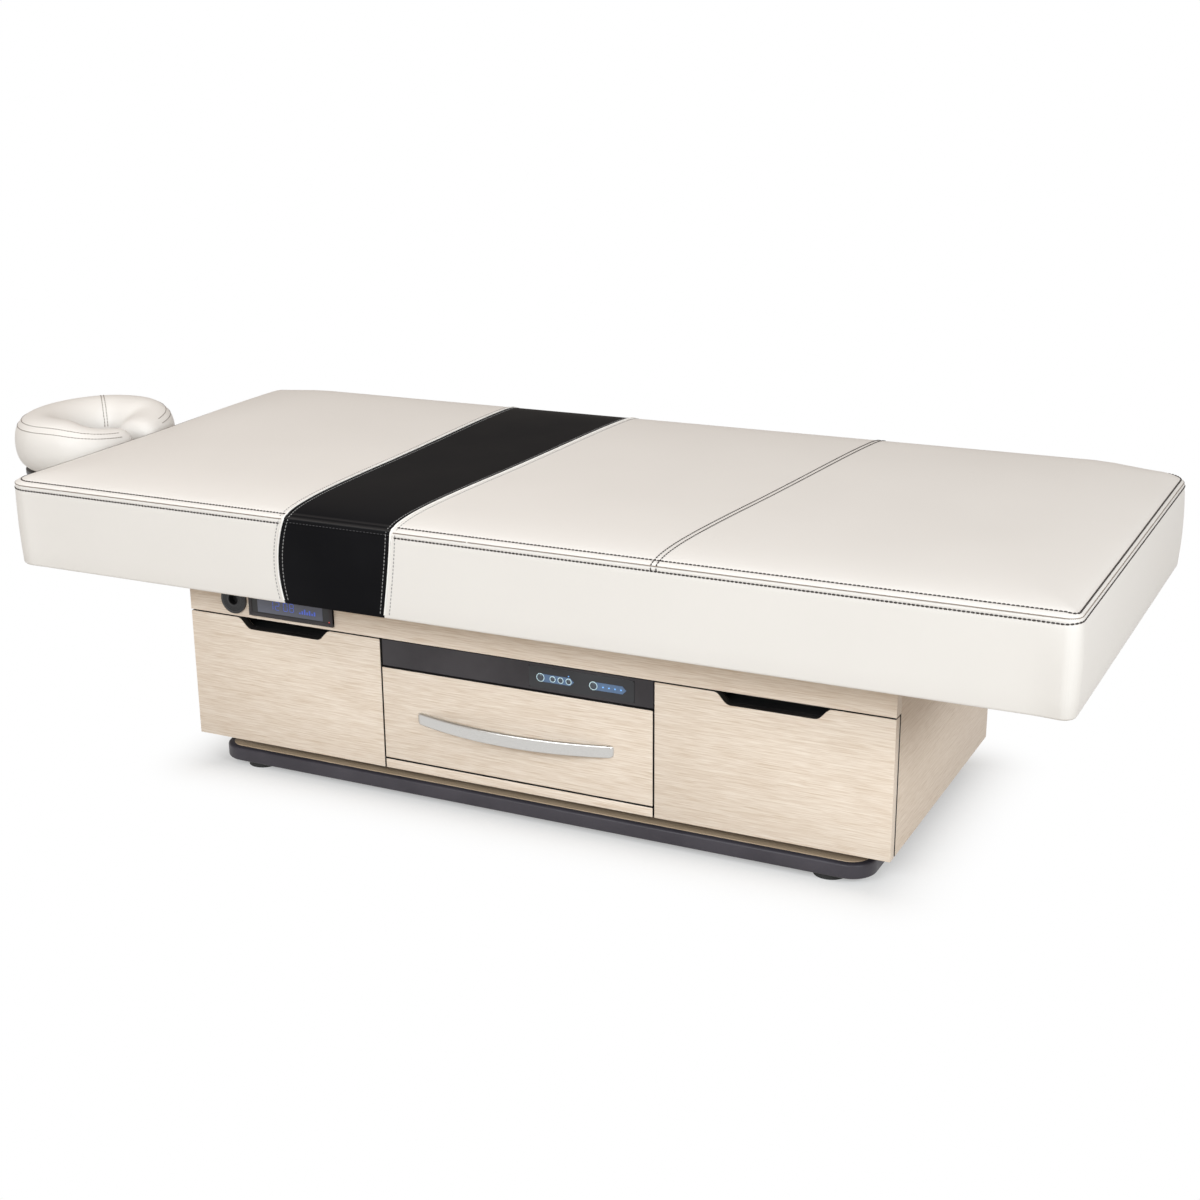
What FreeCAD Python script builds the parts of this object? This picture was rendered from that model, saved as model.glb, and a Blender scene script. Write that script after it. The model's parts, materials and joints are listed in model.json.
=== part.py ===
import FreeCAD, Part
import os
import re
import Sketcher

# Electric lift treatment table with a padded top, three drawers and a face rest.
# Millimetres, +Z up, head end towards -X, drawer fronts towards -Y, floor at Z = 0.
# X is counted from the middle of the padded top and then moved by TABLE_X,
# so that the whole table, face rest included, is centred on the origin.

SIZES = {
    # padded top
    "mattress_length": 1930, "mattress_width": 870, "corner_radius": 22, "boxing_height": 151,
    "crown_height": 24, "crown_reach": 300, "side_draw": 3, "bottom_tuck": 6, "cover_thickness": 3,
    "band_front_left": 358, "band_front_right": 142, "band_rear_left": 364, "band_rear_right": 100,
    # deck and steel frame under it
    "deck_board": 18, "deck_inset": 72, "deck_radius": 30, "frame_tube": 30, "frame_spread": 200,
    # cabinet
    "cabinet_length": 1344, "cabinet_depth": 588, "cabinet_height": 317.5, "cabinet_lift": 21.5,
    "side_board": 18, "back_board": 12, "bottom_board": 16, "partition_board": 12,
    "front_board": 19, "front_gap": 5, "panel_gap": 3, "front_height": 242.5, "module_width": 525,
    # plinth
    "glide_height": 11, "glide_radius": 29, "glide_end_inset": 76, "glide_side_inset": 38,
    "plinth_height": 26, "plinth_inset": 35.5, "plinth_setback": 5.5, "plinth_radius": 45,
    "bumper_wall": 12,
    # telescopic lift columns
    "column_spread": 525, "column_width": 90, "column_depth": 130, "column_wall": 4, "column_run": 0.3,
    "column_step": 3, "column_clear": 8, "column_plate": 8, "plate_margin": 28, "top_plate": 6,
    "bolt_radius": 8, "bolt_head": 6, "bolt_edge": 14, "motor_height": 90, "motor_clear": 4,
    # drawer boxes and three-member slides
    "box_wall": 12, "box_floor": 8, "box_clear": 77, "box_lift": 14, "side_box_height": 175,
    "tub_height": 140, "slide_plate": 4, "slide_run": 0.3, "slide_height": 45, "slide_lift": 40,
    "pull_margin": 218, "pull_slope": 18, "pull_depth": 20, "liner_depth": 34, "liner_wall": 3,
    # centre module
    "strip_height": 48, "strip_recess": 3, "rail_board": 18, "filler_height": 17,
    "handle_span": 380, "handle_rise": 34, "handle_height": 25, "handle_thickness": 9,
    "handle_lift": 94, "heater_margin": 20, "heater_height": 5,
    # control pad and its buttons
    "pad_length": 196, "pad_height": 39, "pad_depth": 8, "pad_centre": 129, "pad_proud": 1,
    "button_radius": 6, "level_radius": 4, "button_length": 5, "button_proud": 1.5, "button_run": 0.3,
    "button_sink": 2, "power_button_x": 53, "timer_button_x": 152, "level_first_x": 76, "level_pitch": 15,
    "lamp_radius": 1.5, "lamp_first_x": 170, "lamp_pitch": 11, "lamp_proud": 0.5,
    # music unit and socket in the fascia
    "unit_length": 180, "unit_height": 50, "unit_proud": 6, "unit_flange": 3, "unit_depth": 110,
    "unit_centre": 447, "unit_lift": 7.5, "screen_length": 140, "screen_height": 32, "screen_plate": 1,
    "socket_radius": 27, "socket_proud": 4, "socket_body_radius": 16, "socket_body": 60,
    "socket_bore": 10, "socket_bore_depth": 40, "socket_centre": 572, "socket_lift": 32,
    # electrics at the back
    "box_length": 200, "box_centre": 80, "box_breadth": 56, "box_tall": 110,
    "inlet_length": 48, "inlet_height": 28, "inlet_flange": 3, "inlet_depth": 22, "inlet_margin": 4,
    "inlet_centre": 120, "inlet_lift": 60,
    # face rest
    "face_gap": 20, "face_length": 278, "rod_radius": 8, "rod_run": 0.05, "rod_spread": 210,
    "rod_clear": 103, "rod_stop": 24, "rod_inset": 32, "socket_wall": 5, "bracket_height": 20, "hinge_height": 91,
    "bar_radius": 10, "knuckle_wall": 5, "knuckle_length": 40, "knuckle_spread": 110,
    "platform_plate": 8, "platform_lift": 14, "platform_margin": 26, "platform_hole": 60, "platform_round": 85,
    "cushion_radius": 163, "cushion_roll": 58, "cushion_flat": 56,
    "lever_length": 70, "lever_width": 16, "lever_thickness": 8, "lever_run": 0.3, "lever_hub": 12,
    # one overrun for every cut
    "overrun": 5,
}
# height and inset of the padded top's crown, from the seam to the flat of the top
CROWN_SHARES = ((0.32, 0.035), (0.56, 0.13), (0.79, 0.36), (0.94, 0.68), (1.0, 1.0))

doc = FreeCAD.newDocument("TreatmentTable")
sheet = doc.addObject("Spreadsheet::Sheet", "Sizes")
for row, (alias, number) in enumerate(SIZES.items(), start=1):
    sheet.set(f"A{row}", alias)
    sheet.set(f"B{row}", str(number))
    sheet.setAlias(f"B{row}", alias)
doc.recompute()
nodes = []


def bound(text):
    """Points every size named in an expression at its cell."""
    return re.sub(r"[a-z_]+", lambda word: "Sizes." + word[0] if word[0] in SIZES else word[0], text)


def size(alias):
    return float(sheet.get(alias))


# Levels and planes that several pieces share, written in sizes
TABLE_X = "(face_gap + face_length)/2"
PLINTH_TOP = "(glide_height + plinth_height)"
CABINET_BOTTOM = f"({PLINTH_TOP} + cabinet_lift)"
FLOOR_TOP = f"({CABINET_BOTTOM} + bottom_board)"
DRAWER_TOP = f"({CABINET_BOTTOM} + front_height)"
CABINET_TOP = f"({CABINET_BOTTOM} + cabinet_height)"
FRAME_BOTTOM = f"({CABINET_TOP} - frame_tube)"
MATTRESS_BOTTOM = f"({CABINET_TOP} + deck_board)"
FRONT = "(-cabinet_depth/2)"
FRONT_BACK = f"({FRONT} + front_board)"
CARCASS_FRONT = f"({FRONT_BACK} + front_gap)"
CARCASS_BACK = "(cabinet_depth/2 - back_board)"
BOX_DEPTH = f"({CARCASS_BACK} - {FRONT_BACK} - box_clear)"
COLUMN_BAY = "(column_width/2 + column_clear)"
SLIDE_SPACE = "(3*slide_plate + 2*slide_run)"
STRIP_BOTTOM = f"({DRAWER_TOP} - strip_height)"
CUSHION_RING = "(cushion_radius - cushion_roll)"


def place(piece, x, y, z):
    piece.setExpression("Placement.Base.x", bound(f"{TABLE_X} + {x}"))
    piece.setExpression("Placement.Base.y", bound(y))
    piece.setExpression("Placement.Base.z", bound(z))
    return piece


def board(name, x, y, z, length, width, height):
    """A box with its low corner at x, y, z."""
    piece = doc.addObject("Part::Box", name)
    for side, text in (("Length", length), ("Width", width), ("Height", height)):
        piece.setExpression(side, bound(text))
    return place(piece, x, y, z)


def rod(name, x, y, z, radius, length, axis="z"):
    """A cylinder that starts at x, y, z and runs along one axis, towards +Y for axis y."""
    piece = doc.addObject("Part::Cylinder", name)
    turns = {"x": ((0, 1, 0), 90), "y": ((1, 0, 0), -90), "z": ((0, 0, 1), 0)}
    direction, angle = turns[axis]
    piece.Placement = FreeCAD.Placement(
        FreeCAD.Vector(), FreeCAD.Rotation(FreeCAD.Vector(*direction), angle))
    piece.setExpression("Radius", bound(radius))
    piece.setExpression("Height", bound(length))
    return place(piece, x, y, z)


def cut(name, base, *tools):
    for number, tool in enumerate(tools):
        piece = doc.addObject("Part::Cut", f"{name}_cut_{number}")
        piece.Base = base
        piece.Tool = tool
        base = piece
    return base


def fuse(name, *pieces):
    piece = doc.addObject("Part::MultiFuse", name)
    piece.Shapes = list(pieces)
    return piece


def group(name, pieces):
    """Separate solids that share one node."""
    piece = doc.addObject("Part::Compound", name)
    piece.Links = list(pieces)
    return piece


def node(label, piece):
    piece.Label = label
    nodes.append(piece)
    return piece


def rounded_plate(name, x, y, z, length, width, height, radius):
    """A plate with rounded upright corners, centred on x, y and standing on z."""
    body = doc.addObject("PartDesign::Body", name)
    plane = next(item for item in body.Origin.OriginFeatures if item.Role == "XY_Plane")
    outline = body.newObject("Sketcher::SketchObject", name + "_outline")
    outline.AttachmentSupport = (plane, [""])
    outline.MapMode = "FlatFace"
    corners = [FreeCAD.Vector(a, b, 0) for a, b in ((-1, -1), (1, -1), (1, 1), (-1, 1))]
    for number in range(4):
        outline.addGeometry(Part.LineSegment(corners[number], corners[(number + 1) % 4]))
    for number in range(4):
        outline.addConstraint(Sketcher.Constraint("Coincident", number, 2, (number + 1) % 4, 1))
        way = "Vertical" if number % 2 else "Horizontal"
        outline.addConstraint(Sketcher.Constraint(way, number))
    outline.addConstraint(Sketcher.Constraint("Symmetric", 0, 1, 2, 1, -1, 1))
    along = outline.addConstraint(Sketcher.Constraint("DistanceX", 0, 1, 0, 2, 1))
    across = outline.addConstraint(Sketcher.Constraint("DistanceY", 1, 1, 1, 2, 1))
    outline.setExpression(f"Constraints[{along}]", bound(length))
    outline.setExpression(f"Constraints[{across}]", bound(width))
    pad = body.newObject("PartDesign::Pad", name + "_pad")
    pad.Profile = outline
    pad.setExpression("Length", bound(height))
    doc.recompute()
    upright = [f"Edge{number}" for number, edge in enumerate(pad.Shape.Edges, start=1)
               if abs(edge.tangentAt(edge.FirstParameter).z) > 0.9]
    rounding = body.newObject("PartDesign::Fillet", name + "_rounding")
    rounding.Base = (pad, upright)
    rounding.setExpression("Radius", bound(radius))
    body.Tip = rounding
    return place(body, x, y, z)


def wedge(name, x, y, z, foot, head, height, depth):
    """A prism whose section widens from foot to head along +Z and runs depth towards -Y."""
    piece = doc.addObject("Part::Wedge", name)
    limits = {"Xmin": f"-{foot}/2", "Xmax": f"{foot}/2", "X2min": f"-{head}/2", "X2max": f"{head}/2",
              "Ymin": "0", "Ymax": height, "Zmin": "0", "Zmax": depth, "Z2min": "0", "Z2max": depth}
    for side, text in limits.items():
        piece.setExpression(side, bound(text))
    piece.Placement = FreeCAD.Placement(
        FreeCAD.Vector(), FreeCAD.Rotation(FreeCAD.Vector(1, 0, 0), 90))
    return place(piece, x, y, z)


def rounded_rectangle(length, width, radius, z):
    """A closed wire of four lines and four quarter arcs."""
    edges = []
    straight_x, straight_y = length/2 - radius, width/2 - radius
    slant = radius*0.5**0.5
    for sx, sy in ((1, 1), (-1, 1), (-1, -1), (1, -1)):
        centre = FreeCAD.Vector(sx*straight_x, sy*straight_y, z)
        side_x = centre + FreeCAD.Vector(sx*radius, 0, 0)
        side_y = centre + FreeCAD.Vector(0, sy*radius, 0)
        middle = centre + FreeCAD.Vector(sx*slant, sy*slant, 0)
        start, end = (side_x, side_y) if sx == sy else (side_y, side_x)
        if edges:
            edges.append(Part.LineSegment(edges[-1].EndPoint, start))
        edges.append(Part.Arc(start, middle, end))
    edges.append(Part.LineSegment(edges[-1].EndPoint, edges[0].StartPoint))
    return Part.Wire([edge.toShape() for edge in edges])


def cushion_form(name, skin):
    """The padded top: tucked foot, drawn-in sides, seam and crown, set in by skin all round."""
    rise = size("boxing_height") + size("crown_height")
    tuck = size("bottom_tuck")
    levels = [(0, tuck), (tuck, 0), (size("boxing_height")/2, size("side_draw")), (size("boxing_height"), 0)]
    levels += [(size("boxing_height") + size("crown_height")*up, size("crown_reach")*inward)
               for up, inward in CROWN_SHARES]
    wires = [rounded_rectangle(size("mattress_length") - 2*(inset + skin),
                               size("mattress_width") - 2*(inset + skin),
                               size("corner_radius"), skin + z*(rise - 2*skin)/rise)
             for z, inset in levels]
    piece = doc.addObject("Part::Feature", name)
    piece.Shape = Part.makeLoft(wires, True, True)
    return place(piece, "0", "0", MATTRESS_BOTTOM)


# Plinth
plinth_length = "(cabinet_length - 2*plinth_inset)"
plinth_depth = "(cabinet_depth - 2*plinth_setback)"
board_size = (f"({plinth_length} - 2*bumper_wall)", f"({plinth_depth} - 2*bumper_wall)", "plinth_height",
              "(plinth_radius - bumper_wall)")
node("plinth_board", rounded_plate("PlinthBoard", "0", "0", "glide_height", *board_size))
edge_rim = rounded_plate("BumperRim", "0", "0", "glide_height", plinth_length, plinth_depth,
                         "plinth_height", "plinth_radius")
edge_core = rounded_plate("BumperCore", "0", "0", "glide_height", *board_size)
node("bumper_edge", cut("BumperEdge", edge_rim, edge_core))
glide_x = f"({plinth_length}/2 - glide_end_inset)"
glide_y = f"({plinth_depth}/2 - glide_side_inset)"
node("glide_feet", group("GlideFeet", [
    rod(f"Glide{number}", f"{sx}*{glide_x}", f"{sy}*{glide_y}", "0", "glide_radius", "glide_height")
    for number, (sx, sy) in enumerate(((-1, -1), (1, -1), (1, 1), (-1, 1)))]))

# Telescopic lift columns: an outer, a middle and an inner tube on each side
column_base = f"({PLINTH_TOP} + column_plate)"
tube_top = f"({FRAME_BOTTOM} - top_plate)"
SIDES = ((-1, "Left"), (1, "Right"))


def tube_pair(name, stage):
    """The tubes of one stage, each stage a running gap inside the one before it."""
    width = f"(column_width - {stage}*2*(column_wall + column_run))"
    depth = f"(column_depth - {stage}*2*(column_wall + column_run))"
    bottom = f"({column_base} + {stage}*column_step)"
    height = f"({tube_top} - {bottom} - {2 - stage}*column_step)"
    tubes = []
    for sign, hand in SIDES:
        x = f"({sign}*column_spread/2 - {width}/2)"
        skin = board(f"{name}{hand}Skin", x, f"-{depth}/2", bottom, width, depth, height)
        bore = board(f"{name}{hand}Bore", f"{x} + column_wall", f"-{depth}/2 + column_wall",
                     f"{bottom} - overrun", f"{width} - 2*column_wall", f"{depth} - 2*column_wall",
                     f"{height} + 2*overrun")
        tubes.append(cut(f"{name}{hand}", skin, bore))
    return group(name, tubes)


plate_width = "(column_width + 2*plate_margin)"
plate_depth = "(column_depth + 2*plate_margin)"
node("column_base_plates", group("BasePlates", [
    board(f"BasePlate{hand}", f"{sign}*column_spread/2 - {plate_width}/2", f"-{plate_depth}/2",
          PLINTH_TOP, plate_width, plate_depth, "column_plate") for sign, hand in SIDES]))
node("base_plate_bolts", group("BasePlateBolts", [
    rod(f"Bolt{hand}{number}", f"{sign}*column_spread/2 + {sx}*({plate_width}/2 - bolt_edge)",
        f"{sy}*({plate_depth}/2 - bolt_edge)", column_base, "bolt_radius", "bolt_head")
    for sign, hand in SIDES for number, (sx, sy) in enumerate(((-1, -1), (1, -1), (1, 1), (-1, 1)))]))
node("outer_columns", tube_pair("OuterColumns", 0))
node("middle_columns", tube_pair("MiddleColumns", 1))
node("inner_columns", tube_pair("InnerColumns", 2))
motor_width = "(column_width - 6*column_wall - 4*column_run - 2*motor_clear)"
motor_depth = "(column_depth - 6*column_wall - 4*column_run - 2*motor_clear)"
node("lift_motors", group("LiftMotors", [
    board(f"Motor{hand}", f"{sign}*column_spread/2 - {motor_width}/2", f"-{motor_depth}/2", column_base,
          motor_width, motor_depth, "motor_height") for sign, hand in SIDES]))
node("column_top_plates", group("TopPlates", [
    board(f"TopPlate{hand}", f"{sign}*column_spread/2 - column_width/2", "-column_depth/2", tube_top,
          "column_width", "column_depth", "top_plate") for sign, hand in SIDES]))

# Steel frame and deck that carry the padded top
bay_length = "(cabinet_length - 2*side_board)"
rails = [board(f"Rail{number}", f"-{bay_length}/2", f"{sign}*frame_spread/2 - frame_tube/2", FRAME_BOTTOM,
               bay_length, "frame_tube", "frame_tube") for number, sign in enumerate((-1, 1))]
crossbars = [board(f"Crossbar{hand}{number}",
                   f"{sign}*column_spread/2 + {step}*column_width/2 - frame_tube/2",
                   "-frame_spread/2 + frame_tube/2", FRAME_BOTTOM, "frame_tube",
                   "frame_spread - frame_tube", "frame_tube")
             for sign, hand in SIDES for number, step in enumerate((-1, 1))]
node("top_frame", group("TopFrame", rails + crossbars))
node("deck", rounded_plate("Deck", "0", "0", CABINET_TOP, "mattress_length - 2*deck_inset",
                           "mattress_width - 2*deck_inset", "deck_board", "deck_radius"))

# Padded top: foam core, pale cover in two panels and the dark flared band between them
outer_form = cushion_form("CushionForm", 0)
node("mattress_core", cushion_form("MattressCore", size("cover_thickness")))
core_space = cushion_form("CoreSpace", size("cover_thickness"))
band_prism = doc.addObject("Part::Wedge", "BandPrism")
band_limits = {"Xmin": "-band_front_left", "Xmax": "-band_front_right", "X2min": "-band_rear_left",
               "X2max": "-band_rear_right", "Ymin": "0", "Ymax": "mattress_width", "Zmin": "0",
               "Z2min": "0", "Zmax": "boxing_height + crown_height + overrun",
               "Z2max": "boxing_height + crown_height + overrun"}
for side, text in band_limits.items():
    band_prism.setExpression(side, bound(text))
place(band_prism, "0", "-mattress_width/2", MATTRESS_BOTTOM)
whole_cover = cut("WholeCover", outer_form, core_space)
band = doc.addObject("Part::Common", "BandCover")
band.Base = whole_cover
band.Tool = band_prism
node("band_cover", band)
node("pale_cover", cut("PaleCover", whole_cover, band_prism))

# Cabinet carcass
carcass_depth = f"({CARCASS_BACK} - {CARCASS_FRONT})"
for sign, hand in SIDES:
    node(f"{hand.lower()}_side_panel", board(
        f"SidePanel{hand}", f"{sign}*(cabinet_length/2 - side_board/2) - side_board/2", CARCASS_FRONT,
        CABINET_BOTTOM, "side_board", f"cabinet_depth/2 - {CARCASS_FRONT}", "cabinet_height"))
floor_blank = board("FloorBlank", f"-{bay_length}/2", CARCASS_FRONT, CABINET_BOTTOM, bay_length,
                    carcass_depth, "bottom_board")
floor_holes = [board(f"FloorHole{hand}", f"{sign}*column_spread/2 - {COLUMN_BAY}",
                     "-column_depth/2 - column_clear", f"{CABINET_BOTTOM} - overrun", f"2*{COLUMN_BAY}",
                     "column_depth + 2*column_clear", "bottom_board + 2*overrun") for sign, hand in SIDES]
node("bottom_board", cut("BottomBoard", floor_blank, *floor_holes))
inlet_z = f"({FLOOR_TOP} + inlet_lift)"
back_blank = board("BackBlank", f"-{bay_length}/2", CARCASS_BACK, CABINET_BOTTOM, bay_length, "back_board",
                   "cabinet_height")
inlet_hole = board("InletHole", "inlet_centre - inlet_length/2", f"{CARCASS_BACK} - overrun", inlet_z,
                   "inlet_length", "back_board + 2*overrun", "inlet_height")
node("back_panel", cut("BackPanel", back_blank, inlet_hole))
inlet_body = board("InletBody", "inlet_centre - inlet_length/2", "cabinet_depth/2 - inlet_depth", inlet_z,
                   "inlet_length", "inlet_depth", "inlet_height")
inlet_rim = board("InletRim", "inlet_centre - inlet_length/2 - inlet_margin", "cabinet_depth/2",
                  f"{inlet_z} - inlet_margin", "inlet_length + 2*inlet_margin", "inlet_flange",
                  "inlet_height + 2*inlet_margin")
inlet_well = board("InletWell", "inlet_centre - inlet_length/2 + inlet_margin",
                   "cabinet_depth/2 - inlet_depth + inlet_flange", f"{inlet_z} + inlet_margin",
                   "inlet_length - 2*inlet_margin", "inlet_depth + overrun", "inlet_height - 2*inlet_margin")
node("power_inlet", cut("PowerInlet", fuse("InletShell", inlet_body, inlet_rim), inlet_well))
node("control_box", board("ControlBox", "-box_centre - box_length/2", f"{CARCASS_BACK} - box_breadth",
                          FLOOR_TOP, "box_length", "box_breadth", "box_tall"))
partition_height = f"({FRAME_BOTTOM} - {FLOOR_TOP})"
for sign, hand in SIDES:
    node(f"{hand.lower()}_partitions", group(f"Partitions{hand}", [
        board(f"Partition{hand}{number}",
              f"{sign}*column_spread/2 + {step}*({COLUMN_BAY} + partition_board/2) - partition_board/2",
              CARCASS_FRONT, FLOOR_TOP, "partition_board", carcass_depth, partition_height)
        for number, step in enumerate((-1, 1))]))

# Fascia with the music unit and the round socket
fascia_bottom = f"({DRAWER_TOP} + panel_gap)"
unit_z = f"({fascia_bottom} + unit_lift)"
unit_x = "(-unit_centre - unit_length/2)"
socket_z = f"({fascia_bottom} + socket_lift)"
fascia_blank = board("FasciaBlank", "-cabinet_length/2", FRONT, fascia_bottom, "cabinet_length",
                     "front_board + front_gap", f"{CABINET_TOP} - {fascia_bottom}")
unit_hole = board("UnitHole", f"{unit_x} + unit_flange", f"{FRONT} - overrun", f"{unit_z} + unit_flange",
                  "unit_length - 2*unit_flange", "front_board + front_gap + 2*overrun",
                  "unit_height - 2*unit_flange")
socket_hole = rod("SocketHole", "-socket_centre", f"{FRONT} - overrun", socket_z, "socket_body_radius",
                  "front_board + front_gap + 2*overrun", "y")
node("fascia", cut("Fascia", fascia_blank, unit_hole, socket_hole))
unit_bezel = board("UnitBezel", unit_x, f"{FRONT} - unit_proud", unit_z, "unit_length", "unit_proud",
                   "unit_height")
unit_body = board("UnitBody", f"{unit_x} + unit_flange", FRONT, f"{unit_z} + unit_flange",
                  "unit_length - 2*unit_flange", "unit_depth", "unit_height - 2*unit_flange")
node("music_unit", fuse("MusicUnit", unit_bezel, unit_body))
screen_z = f"({unit_z} + (unit_height - screen_height)/2)"
node("unit_screen", board("UnitScreen", "-unit_centre - screen_length/2",
                          f"{FRONT} - unit_proud - screen_plate", screen_z, "screen_length",
                          "screen_plate", "screen_height"))
socket_rim = rod("SocketRim", "-socket_centre", f"{FRONT} - socket_proud", socket_z, "socket_radius",
                 "socket_proud", "y")
socket_barrel = rod("SocketBarrel", "-socket_centre", FRONT, socket_z, "socket_body_radius",
                    "socket_body", "y")
socket_mouth = rod("SocketMouth", "-socket_centre", f"{FRONT} - socket_proud - overrun", socket_z,
                   "socket_bore", "socket_bore_depth + overrun", "y")
node("accessory_socket", cut("AccessorySocket", fuse("SocketShell", socket_rim, socket_barrel), socket_mouth))

# Centre module: dark control strip, its rail, the control pad and the filler under the drawer
module_half = "(module_width/2 - panel_gap/2)"
centre_bay = f"(column_spread/2 - {COLUMN_BAY} - partition_board)"
strip_front = f"({FRONT} + strip_recess)"
node("strip_rail", board("StripRail", f"-{centre_bay}", CARCASS_FRONT, STRIP_BOTTOM, f"2*{centre_bay}",
                         "rail_board", "strip_height"))
strip_blank = board("StripBlank", f"-{module_half}", strip_front, STRIP_BOTTOM, f"2*{module_half}",
                    f"{CARCASS_FRONT} - {strip_front}", "strip_height")
pad_z = f"({STRIP_BOTTOM} + (strip_height - pad_height)/2)"
pad_window = board("PadWindow", "pad_centre - pad_length/2", f"{strip_front} - overrun", pad_z, "pad_length",
                   "pad_depth - pad_proud + overrun", "pad_height")
node("control_strip", cut("ControlStrip", strip_blank, pad_window))
button_z = f"({STRIP_BOTTOM} + strip_height/2)"
pad_front = f"({strip_front} - pad_proud)"
pad_blank = board("PadBlank", "pad_centre - pad_length/2", pad_front, pad_z, "pad_length", "pad_depth",
                  "pad_height")
BUTTONS = [("power_button", "power_button_x", "button_radius")]
BUTTONS += [(f"{word}_heat_button", f"(level_first_x + {step}*level_pitch)", "level_radius")
            for step, word in enumerate(("low", "medium", "high"))]
BUTTONS += [("timer_button", "timer_button_x", "button_radius")]
button_holes = [rod(f"Hole_{name}", x, f"{pad_front} - overrun", button_z, f"{radius} + button_run",
                    "overrun + button_length - button_proud + button_sink", "y")
                for name, x, radius in BUTTONS]
node("control_pad", cut("ControlPad", pad_blank, *button_holes))
for name, x, radius in BUTTONS:
    node(name, rod(name, x, f"{pad_front} - button_proud", button_z, radius, "button_length", "y"))
node("timer_lamps", group("TimerLamps", [
    rod(f"Lamp{step}", f"lamp_first_x + {step}*lamp_pitch", f"{pad_front} - lamp_proud", button_z,
        "lamp_radius", "lamp_proud", "y") for step in range(4)]))
node("filler_strip", board("FillerStrip", f"-{module_half}", FRONT, CABINET_BOTTOM, f"2*{module_half}",
                           "front_board + front_gap", "filler_height"))


# Drawers, each with a front, a box of separate boards and three-member slides on both sides
def open_box(name, x, y, z, length, depth, height):
    """Floor, two sides, a back and an inner front as separate boards."""
    inner = f"({length} - 2*box_wall)"
    return group(name, [
        board(name + "Floor", x, y, z, length, depth, "box_floor"),
        board(name + "Left", x, y, f"{z} + box_floor", "box_wall", depth, f"{height} - box_floor"),
        board(name + "Right", f"{x} + {length} - box_wall", y, f"{z} + box_floor", "box_wall", depth,
              f"{height} - box_floor"),
        board(name + "Inner", f"{x} + box_wall", y, f"{z} + box_floor", inner, "box_wall",
              f"{height} - box_floor"),
        board(name + "Back", f"{x} + box_wall", f"{y} + {depth} - box_wall", f"{z} + box_floor", inner,
              "box_wall", f"{height} - box_floor")])


def slides(name, bay_low, bay_high, z, member):
    """One member of the slides on both walls of a bay, counted from the wall inwards."""
    step = f"({member}*(slide_plate + slide_run))"
    low = f"{bay_low} + {step}"
    high = f"{bay_high} - {step} - slide_plate"
    front = FRONT_BACK if member == 2 else CARCASS_FRONT
    return [board(f"{name}{number}", x, front, f"{z} + slide_lift", "slide_plate", BOX_DEPTH,
                  "slide_height") for number, x in enumerate((low, high))]


box_z = f"({FLOOR_TOP} + box_lift)"
BAYS = {"left_drawer": ("(-cabinet_length/2 + side_board)",
                        f"(-column_spread/2 - {COLUMN_BAY} - partition_board)", "side_box_height"),
        "warming_drawer": (f"(-{centre_bay})", centre_bay, "tub_height"),
        "right_drawer": (f"(column_spread/2 + {COLUMN_BAY} + partition_board)",
                         "(cabinet_length/2 - side_board)", "side_box_height")}
fixed_members = []
for name, (low, high, tall) in BAYS.items():
    node(f"{name}_box", open_box(f"{name}_box", f"({low} + {SLIDE_SPACE})", FRONT_BACK, box_z,
                                 f"({high} - {low} - 2*{SLIDE_SPACE})", BOX_DEPTH, tall))
    fixed_members += slides(f"{name}_fixed", low, high, box_z, 0)
    node(f"{name}_middle_slides", group(f"{name}_middle", slides(f"{name}_middle_", low, high, box_z, 1)))
    node(f"{name}_inner_slides", group(f"{name}_inner", slides(f"{name}_inner_", low, high, box_z, 2)))
node("cabinet_slides", group("CabinetSlides", fixed_members))

front_width = "((cabinet_length - module_width - panel_gap)/2)"
pull_width = f"({front_width} - pull_margin)"
for sign, hand in SIDES:
    name = hand.lower()
    middle = f"{sign}*(cabinet_length/2 - {front_width}/2)"
    blank = board(f"{name}_front_blank", f"{middle} - {front_width}/2", FRONT, CABINET_BOTTOM, front_width,
                  "front_board", "front_height")
    notch = wedge(f"{name}_notch", middle, f"{FRONT_BACK} + overrun", f"{DRAWER_TOP} - pull_depth",
                  f"({pull_width} - 2*pull_slope)", pull_width, "pull_depth", "front_board + 2*overrun")
    node(f"{name}_drawer_front", cut(f"{name}_front", blank, notch))
    liner_z = f"({DRAWER_TOP} - pull_depth - liner_wall)"
    liner_x = f"{middle} - {pull_width}/2"
    liner_tall = "(pull_depth + liner_wall)"
    node(f"{name}_pull_liner", group(f"{name}_liner", [
        board(f"{name}_liner_floor", liner_x, FRONT_BACK, liner_z, pull_width, "liner_depth", "liner_wall"),
        board(f"{name}_liner_back", liner_x, f"{FRONT_BACK} + liner_depth", liner_z, pull_width,
              "liner_wall", liner_tall)] + [
        board(f"{name}_liner_end_{number}", f"{middle} + {side}*({pull_width} + liner_wall)/2 - liner_wall/2",
              FRONT_BACK, liner_z, "liner_wall", "liner_depth + liner_wall", liner_tall)
        for number, side in enumerate((-1, 1))]))

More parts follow.
